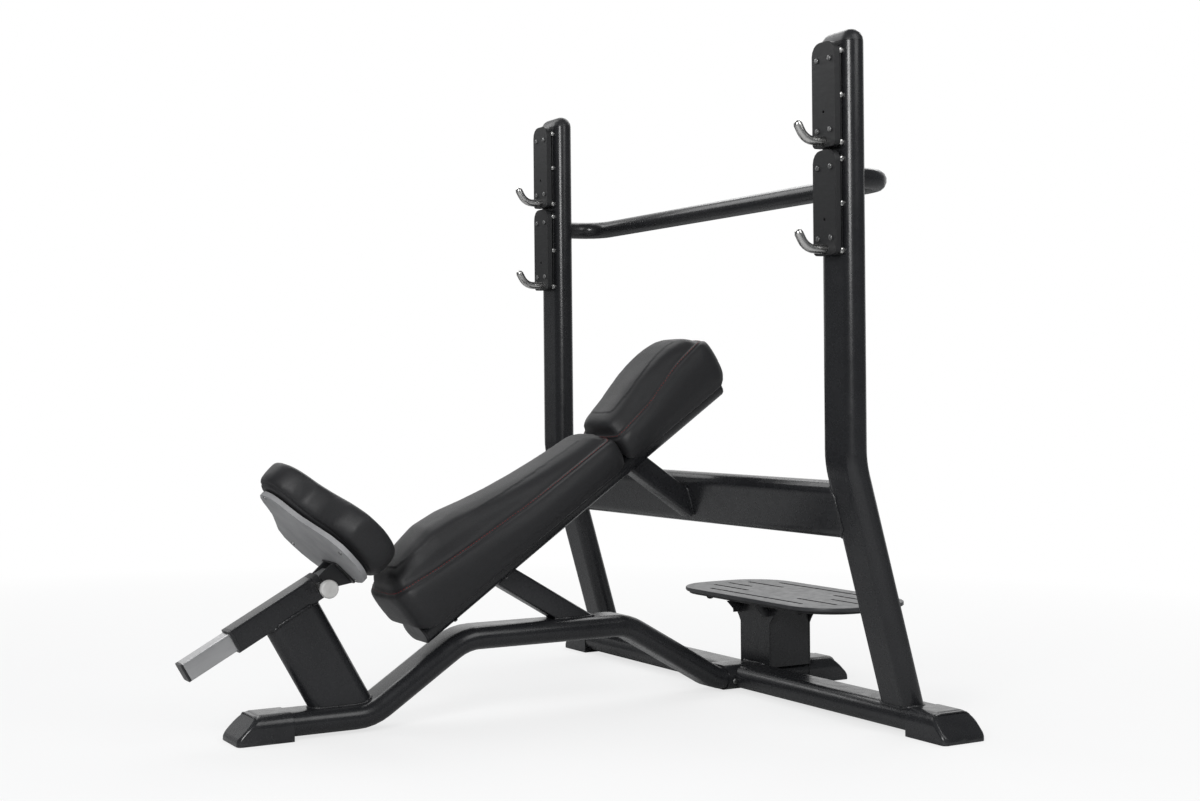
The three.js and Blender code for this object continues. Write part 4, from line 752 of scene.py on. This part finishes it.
# %% [markdown]
# ## Where the covers are sewn
# Each cover is a top panel sewn to a side band. On the backrest's pads the seam follows the
# shoulder of the foam, low where the pad is thin and high where it is thick, so it is given as a
# few places along the slope and drawn in at the round ends. The seat's seam is flat, so a plane
# cut through a copy of its cover finds it, as a knife would.

# %% Seam lines
def between(table, at):
    """Height read from (place, height) pairs, with a straight line between them."""
    for (a, low), (b, high) in zip(table, table[1:]):
        if at <= b:
            return low + (high - low) * limited((at - a) / (b - a))
    return table[-1][1]


def drawn_in(from_end, kept, depth=42.0):
    """Share of the pad's section that is left this far from a round end."""
    near = min(from_end / depth, 1.0)
    return kept + (1 - kept) * math.sqrt(1 - (1 - near) ** 2)


def shoulder_seam(table, lower_end, upper_end, half_width=92.0, base=-30.6, count=60, flattest=0.8):
    start, end = table[0][0], table[-1][0]
    right = []
    for i in range(count + 1):
        at = start + (end - start) * (1 - math.cos(math.pi * i / count)) / 2
        from_end = min(at - start, end - at)
        narrow, low = lower_end if at - start < end - at else upper_end
        height = between(table, at)
        belt = (base + height) / 2
        above = belt + (height - belt) * drawn_in(from_end, max(low, flattest))
        right.append((half_width * drawn_in(from_end, narrow), at, above))
    left = [(-x, s, n) for x, s, n in reversed(right)]
    return even([on_back(*place) for place in right + left])


def even(loop, spacing=0.004, rounds=6):
    """The same closed line with its points evenly spaced and its corners eased."""
    for _ in range(rounds):
        loop = [(loop[i - 1] + loop[i] * 2 + loop[(i + 1) % len(loop)]) / 4
                for i in range(len(loop))]
    reach = [(loop[(i + 1) % len(loop)] - loop[i]).length for i in range(len(loop))]
    count = max(8, round(sum(reach) / spacing))
    spaced, i, run = [], 0, 0.0
    for k in range(count):
        target = sum(reach) * k / count
        while i < len(loop) - 1 and run + reach[i] < target:
            run += reach[i]
            i += 1
        share = (target - run) / max(reach[i], 1e-9)
        spaced.append(loop[i].lerp(loop[(i + 1) % len(loop)], min(share, 1.0)))
    return spaced


def skin_of(cover):
    """A cover's surface, for finding the place on it that is nearest to a point."""
    corners = [v.co for v in cover.data.vertices]
    return BVHTree.FromPolygons(corners, [face.vertices for face in cover.data.polygons])


def knife_line(cover, point, direction):
    """The closed line along which a plane cuts a cover."""
    work = opened(cover)
    edges = sliced(work, point, direction)
    joined = {}
    for edge in edges:
        for vert in edge.verts:
            joined.setdefault(vert, []).append(edge)
    walked, vert, edge = [], edges[0].verts[0], edges[0]
    while True:
        walked.append(vert.co.copy())
        vert = edge.other_vert(vert)
        onward = [e for e in joined[vert] if e is not edge]
        if vert is edges[0].verts[0] or not onward:
            break
        edge = onward[0]
    work.free()
    return even(walked, rounds=3)


FREE_END = (0.6, 0.5)
MEETING_END = (0.82, 0.84)
back_table = [(378, 83), (478, 67.5), (605, 57), (737, 48), (980, 46)]
head_table = [(992, 37.5), (1100, 50), (1206, 80), (1314, 92)]


def inset_line(cover, line, up, inset):
    """A line drawn inside a pad's outline and dropped on its top."""
    skin = skin_of(cover)
    around = sum((b - line[0]).cross(a - line[0]).dot(up) for a, b in zip(line, line[1:]))
    way = 1 if around < 0 else -1
    dropped = []
    for i, point in enumerate(line):
        ahead = line[(i + 3) % len(line)] - line[i - 3]
        inward = up.cross(ahead).normalized() * way
        hit = skin.ray_cast(point + inward * inset + up * 0.1, -up)[0]
        if hit is not None:
            dropped.append(hit)
    return even(dropped, rounds=3)


OUTLINE_ABOVE_BASE = 46
HEM_ABOVE_BASE = 9
seat_level = on_seat(0, 0, SEAT_BASE + OUTLINE_ABOVE_BASE)
seat_outline = knife_line(covers["seat_pad"], seat_level, SEAT_UP)
seams = {
    "back_pad": shoulder_seam(back_table, FREE_END, MEETING_END),
    "head_pad": shoulder_seam(head_table, MEETING_END, FREE_END),
    "seat_pad": inset_line(covers["seat_pad"], seat_outline, SEAT_UP, 0.034),
}
seat_hem = knife_line(covers["seat_pad"], on_seat(0, 0, SEAT_BASE + HEM_ABOVE_BASE), SEAT_UP)
print({pad: len(line) for pad, line in seams.items()}, "points of seam")

# %% [markdown]
# ## Sewing
# The thread pulls the two panels down into the foam, which makes a narrow valley, and the vinyl
# puckers a little beside it. The squares of the mesh are halved near the seam, so that the valley
# is crisp, and then each point sinks by an amount that falls away with its distance from the
# line. On the backrest the panel above the seam also hollows, and the band below it stands out.

# %% Sink the seams
HALVED_WITHIN = 0.009
SEWING_REACH = 0.06
PUCKER_REACH = 0.012
PUCKERS_PER_METRE = 75
HOLLOW_AT = 0.014
BLENDED_OVER = 0.006


def sew(cover, line, up, depth=0.0021, reach=0.0032, pucker=0.0005, hollow=0.0):
    """Sinks a cover's seam; hollow also draws in the panel above it, and fills the one below."""
    skin = skin_of(cover)
    on_skin = [skin.find_nearest(point)[0] for point in line]
    places = KDTree(len(on_skin))
    for i, point in enumerate(on_skin):
        places.insert(point, i)
    places.balance()
    work = opened(cover)
    middles = {e: (e.verts[0].co + e.verts[1].co) / 2 for e in work.edges}
    close = [e for e, middle in middles.items() if places.find(middle)[2] < HALVED_WITHIN]
    bmesh.ops.subdivide_edges(work, edges=close, cuts=1, use_grid_fill=True, smooth=0.0)
    work.normal_update()
    lifts = []
    for v in work.verts:
        nearest, _, distance = places.find(v.co)
        valley = depth * math.exp(-((distance / reach) ** 2))
        fading = math.exp(-((distance / PUCKER_REACH) ** 2))
        ripple = noise.noise(nearest * PUCKERS_PER_METRE) * pucker * fading
        side = limited((v.co - nearest).dot(up) / BLENDED_OVER, -1)
        away = distance / HOLLOW_AT
        dip = hollow * away * math.exp(1 - away) * (side if side > 0 else 0.35 * side)
        lifts.append(ripple - valley - dip if distance < SEWING_REACH else 0.0)
    push(work, lifts)
    put_back(work, cover)
    cover.data.shade_smooth()
    return on_skin


sewn = {
    "back_pad": sew(covers["back_pad"], seams["back_pad"], BACK_UP, hollow=0.0075),
    "head_pad": sew(covers["head_pad"], seams["head_pad"], BACK_UP, hollow=0.0075),
    "seat_pad": sew(covers["seat_pad"], seams["seat_pad"], SEAT_UP),
}
sew(covers["seat_pad"], seat_hem, SEAT_UP, depth=0.0026, reach=0.0036, pucker=0.0003)
print("sewn:", sorted(sewn))

# %% [markdown]
# ## Red stitching
# Beside each seam runs one row of top stitching in thick red thread. Each stitch is a small
# stretched ball half sunk in the vinyl, laid along the seam and a few millimetres up the panel.
# A few hundred of them are light, because each has only two dozen faces.

# %% Stitches
def stitch_row(cover, line, up, shift=0.0055, pitch=0.0072, length=0.005, thick=0.001):
    name = f"{cover.name}_stitching"
    skin = skin_of(cover)
    middle = sum(line, Vector()) / len(line)
    beside = []
    for point in line:
        inward = middle - point
        inward -= up * inward.dot(up)
        beside.append(skin.find_nearest(point + up * shift + inward.normalized() * shift * 0.25)[0])
    row = even(beside, pitch, 1)
    work = bmesh.new()
    for i, point in enumerate(row):
        spot, outward, _, _ = skin.find_nearest(point)
        ahead = row[(i + 1) % len(row)] - row[i - 1]
        side = outward.cross(ahead).normalized()
        ahead = side.cross(outward).normalized()
        turn = Matrix((ahead, side, outward)).transposed().to_4x4()
        size = Matrix.Diagonal((length / 2, thick / 2, thick / 2, 1))
        place = Matrix.Translation(spot + outward * thick * 0.12) @ turn @ size
        bmesh.ops.create_uvsphere(work, u_segments=6, v_segments=4, radius=1, matrix=place)
    print(name, len(row), "stitches")
    return new_object(name, work, red_thread)


bodies = {"back_pad": "frame", "head_pad": "frame", "seat_pad": "seat"}
for pad, cover in covers.items():
    rest(cover, bodies[pad])
    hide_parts(pad)
    row = stitch_row(cover, sewn[pad], SEAT_UP if pad == "seat_pad" else BACK_UP)
    rest(row, bodies[pad])

# %% [markdown]
# ## Weld beads
# The tubes meet in fillet welds, which run round each joint as a rippled bead under the coat.
# The rim of one tube that touches the other is picked from a copy of its solid, everything else
# is deleted, and the edges left over become a curve with a round section. Its ripples are cells
# of noise in the bump.

# %% Weld beads
beads = Finish("coated_weld", (0.013, 0.0133, 0.0145), 0.27)
cloud = beads.spread(beads.speckle(60, 4), 0.4, 0.7)
beads.colour(cloud, (0.0125, 0.0128, 0.014), (0.024, 0.024, 0.026))
beads.bump(beads.cells(330, "SMOOTH_F1"), 0.0009, 0.9)
beads.bump(beads.speckle(900, 2), 0.0001)
coated_weld = beads.material


def surface_of(node):
    """A solid's surface, for finding places on it."""
    solid = merged(node)
    surface = BVHTree.FromBMesh(solid)
    solid.free()
    return surface


def weld_bead(node, other, radius=0.0034, reach=0.0016, sharp=0.6):
    surface = surface_of(other)
    work = merged(node)
    near = {v for v in work.verts if surface.find_nearest(v.co)[3] < reach}
    rim = {e for e in work.edges if near.issuperset(e.verts) and e.calc_face_angle(0) > sharp}
    bmesh.ops.delete(work, geom=[e for e in work.edges if e not in rim], context="EDGES")
    bmesh.ops.delete(work, geom=[v for v in work.verts if not v.link_edges], context="VERTS")
    bead = new_object(f"weld_{node}_to_{other}", work, None)
    bpy.ops.object.select_all(action="DESELECT")
    bead.select_set(True)
    bpy.context.view_layer.objects.active = bead
    bpy.ops.object.convert(target="CURVE")
    bead.data.bevel_depth = radius
    bead.data.bevel_resolution = 2
    bead.data.use_fill_caps = True
    bpy.ops.object.convert(target="MESH")
    bead.data.materials.clear()
    bead.data.materials.append(coated_weld)
    bead.data.shade_smooth()
    rest(bead, "frame")


welds = [
    ("left_upright", "rear_crossbar"), ("right_upright", "rear_crossbar"),
    ("mid_crossbar", "left_upright"), ("mid_crossbar", "right_upright"),
    ("upper_bar", "left_upright"), ("upper_bar", "right_upright"),
    ("upper_strut", "backrest_tube"), ("upper_strut", "mid_crossbar"),
    ("lower_strut", "backrest_tube"), ("lower_strut", "spine"),
    ("front_post", "spine"), ("front_post", "seat_sleeve"),
    ("rear_extension", "rear_crossbar"),
]
for node, other in welds:
    weld_bead(node, other)
print(len(welds), "weld beads")

# %% [markdown]
# ## Screws
# Button-head screws hold the wear plates, the rack brackets, the collar and the seat's board.
# One head is a short cylinder whose rim is bevelled to a dome. Its top is inset and shaped into
# a hexagon, and a copy of that face is pushed down for the key. The extrusion is given the face
# without its edges, so it leaves the first one as a lid over the recess, which is a known fault.
# The places on plates come from the solids' boxes, and a ray finds the surface of the board and
# the tube that the screws under the pads sit on.

# %% Button-head screws
def button_head(work, at, facing, radius, height):
    head = bmesh.new()
    bmesh.ops.create_cone(head, cap_ends=True, cap_tris=False, segments=24, radius1=radius,
                          radius2=radius, depth=height)
    bmesh.ops.translate(head, verts=head.verts, vec=(0, 0, height / 2))

    def top():
        return max(head.faces, key=lambda face: face.calc_center_median().z)

    rounded(head, list(top().edges), height * 0.6, 3)
    key = top()
    bmesh.ops.inset_region(head, faces=[key], thickness=radius * 0.22)
    sixth = math.pi / 3
    for vert in key.verts:
        turn = math.atan2(vert.co.y, vert.co.x)
        reach = radius * 0.36 / math.cos((turn + sixth / 2) % sixth - sixth / 2)
        vert.co.x, vert.co.y = reach * math.cos(turn), reach * math.sin(turn)
    sunk = bmesh.ops.extrude_face_region(head, geom=[key])["geom"]
    key_floor = [part for part in sunk if isinstance(part, bmesh.types.BMVert)]
    bmesh.ops.translate(head, verts=key_floor, vec=(0, 0, -height * 0.55))
    turned = Vector(facing).to_track_quat("Z", "Y").to_matrix().to_4x4()
    bmesh.ops.transform(head, matrix=Matrix.Translation(at) @ turned, verts=head.verts)
    spare = bpy.data.meshes.new("one_screw")
    head.to_mesh(spare)
    head.free()
    work.from_mesh(spare)
    bpy.data.meshes.remove(spare)


def screws(name, places, material, radius, height, body="frame"):
    """One object with a screw at each place; a place is a point and the way its head faces."""
    work = bmesh.new()
    for at, facing in places:
        button_head(work, at, facing, radius, height)
    print(name, len(places), "screws")
    rest(new_object(name, work, material, 35), body)


def landings(node, starts, up):
    """Where lines from under a solid first meet it, each with the way that a screw there faces."""
    surface = surface_of(node)
    return [(surface.ray_cast(start, up)[0], -up) for start in starts]


PLATE_SCREWS_X = (-0.02035, 0.02035)
PLATE_SCREWS_Z = (0.0335, 0.174)
BRACKET_SCREWS_Z = (0.008, 0.101, 0.189)
COLLAR_SCREWS_YZ = (1.119, 0.0257)

for rack in racks:
    low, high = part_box(f"{rack}_wear_plate")
    centre = (low.x + high.x) / 2
    front = [((centre + x, low.y, low.z + z), (0, -1, 0))
             for x in PLATE_SCREWS_X for z in PLATE_SCREWS_Z]
    screws(f"{rack}_plate_screws", front, screw_steel, radius=0.0056, height=0.0026)
    low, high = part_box(f"{rack}_rack_bracket")
    centre = (low.y + high.y) / 2 + 0.001
    flanks = [((x, centre, low.z + z), (way, 0, 0))
              for x, way in ((low.x, -1), (high.x, 1)) for z in BRACKET_SCREWS_Z]
    screws(f"{rack}_bracket_screws", flanks, hook_steel, radius=0.0062, height=0.005)

low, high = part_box("spine_collar")
collar = [((x, *COLLAR_SCREWS_YZ), (way, 0, 0)) for x, way in ((low.x, -1), (high.x, 1))]
screws("collar_screws", collar, screw_steel, radius=0.0062, height=0.0034)

UNDER_BOARD, UNDER_TUBE = 300, -120
board_holes = ((-138, -180), (138, -180), (-53, -87), (53, -87), (0, -331))
below_board = [on_seat(x, s, UNDER_BOARD) for x, s in board_holes]
screws("board_screws", landings("seat_board", below_board, SEAT_UP), screw_steel,
       radius=0.0046, height=0.0022, body="seat")
below_tube = [on_back(x, s, UNDER_TUBE) for x in (-36, 36) for s in (470, 616)]
screws("pad_screws", landings("backrest_tube", below_tube, BACK_UP), screw_steel,
       radius=0.0045, height=0.0024)

# %% [markdown]
# ## Floor, light and air
# A plain pale studio: three broad softboxes overhead, to the rear, the left and the right, and
# one high in front that draws the bright line down the round of each upright. Dark satin shows
# what is round it more than it shows light, so what a tube mirrors matters: a white backdrop to
# the rear left, and a dim room elsewhere. The floor and the air look white to the camera, and
# the floor keeps the soft shadow, but they light the bench plainly.

# %% Studio
floor_finish = Finish("studio_floor", (0.8, 0.8, 0.8), 0.9)
glow = floor_finish.node("ShaderNodeEmission", {"Color": (1, 1, 1, 1), "Strength": 1.0})
dark = floor_finish.node("ShaderNodeBsdfDiffuse", {"Color": (0.05, 0.05, 0.05, 1)})
seen = floor_finish.node("ShaderNodeLightPath").outputs


def floor_number(operation, along=(0, 0, 0)):
    """A number made from the place on the floor, and a direction where it needs one."""
    inputs = {0: floor_finish.place, 1: along}
    made = floor_finish.node("ShaderNodeVectorMath", inputs, operation=operation)
    return made.outputs["Value"]


away = floor_number("LENGTH")
white_share = floor_finish.maths(
    seen["Is Camera Ray"], "MULTIPLY", floor_finish.spread(away, 1.2, 3.6, 0.72, 1.0))
left_front = floor_number("DOT_PRODUCT", along=(-0.9, -0.43, 0))
unlit_share = floor_finish.maths(
    seen["Is Glossy Ray"], "MULTIPLY", floor_finish.spread(left_front, 0.3, 2.2, 0.4, 0.8))
lit_floor = floor_finish.either(unlit_share, floor_finish.shader.outputs[0], dark.outputs[0])
mixed = floor_finish.either(white_share, lit_floor, glow.outputs[0])
floor_end = floor_finish.tree.nodes["Material Output"].inputs["Surface"]
floor_finish.tree.links.new(mixed, floor_end)

JUST_UNDER_FEET = -0.0004
floor_mesh = bmesh.new()
bmesh.ops.create_grid(floor_mesh, x_segments=1, y_segments=1, size=14)
bmesh.ops.translate(floor_mesh, verts=floor_mesh.verts, vec=(0, 0, JUST_UNDER_FEET))
new_object("studio_floor", floor_mesh, floor_finish.material)

world = bpy.context.scene.world or bpy.data.worlds.new("studio_air")
bpy.context.scene.world = world
world.use_nodes = True
air = Nodes(world.node_tree)
air.tree.nodes.clear()


def background(colour, strength):
    inputs = {"Color": (*colour, 1), "Strength": strength}
    return air.node("ShaderNodeBackground", inputs).outputs[0]


TO_BACKDROP = (-0.87, 0.49, 0.0)
backdrop = background((1, 1, 1), 1.0)
room = background((0.96, 0.98, 1), 0.45)
dark_side = background((0.94, 0.97, 1), 0.14)
path = air.node("ShaderNodeLightPath").outputs
way = air.node("ShaderNodeTexCoord").outputs["Generated"]
towards = air.node("ShaderNodeVectorMath", {0: way, 1: TO_BACKDROP}, operation="DOT_PRODUCT")
fade = air.spread(towards.outputs["Value"], 0.5, 0.95, interpolation_type="SMOOTHSTEP")
mirrored = air.either(fade, dark_side, backdrop)
lit = air.either(path["Is Glossy Ray"], room, mirrored)
seen_directly = air.maths(path["Is Camera Ray"], "MAXIMUM", path["Is Transmission Ray"])
shown = air.either(seen_directly, lit, backdrop)
air.node("ShaderNodeOutputWorld", {"Surface": shown})


def softbox(name, at, towards, width, height, power):
    light = bpy.data.lights.new(name, "AREA")
    light.shape = "RECTANGLE"
    light.size, light.size_y = width, height
    light.energy = power
    lamp = linked(name, light)
    lamp.location = at
    lamp.rotation_euler = (Vector(towards) - Vector(at)).to_track_quat("-Z", "Y").to_euler()
    print(name, power, "W")


softbox("behind_overhead", (-1.5, 2.4, 2.9), (0, 0.6, 0.3), width=2.4, height=1.4, power=28)
softbox("left_overhead", (-1.75, 0.1, 2.75), (0, 0.6, 0.4), width=1.4, height=2.4, power=26)
softbox("right_overhead", (2.2, 1.4, 2.35), (0, 0.6, 0.4), width=1.1, height=1.7, power=18)
softbox("high_strip_in_front", (2.5, -1.95, 2.05), (0.5, 0.95, 1.35),
        width=1.1, height=1.3, power=75)
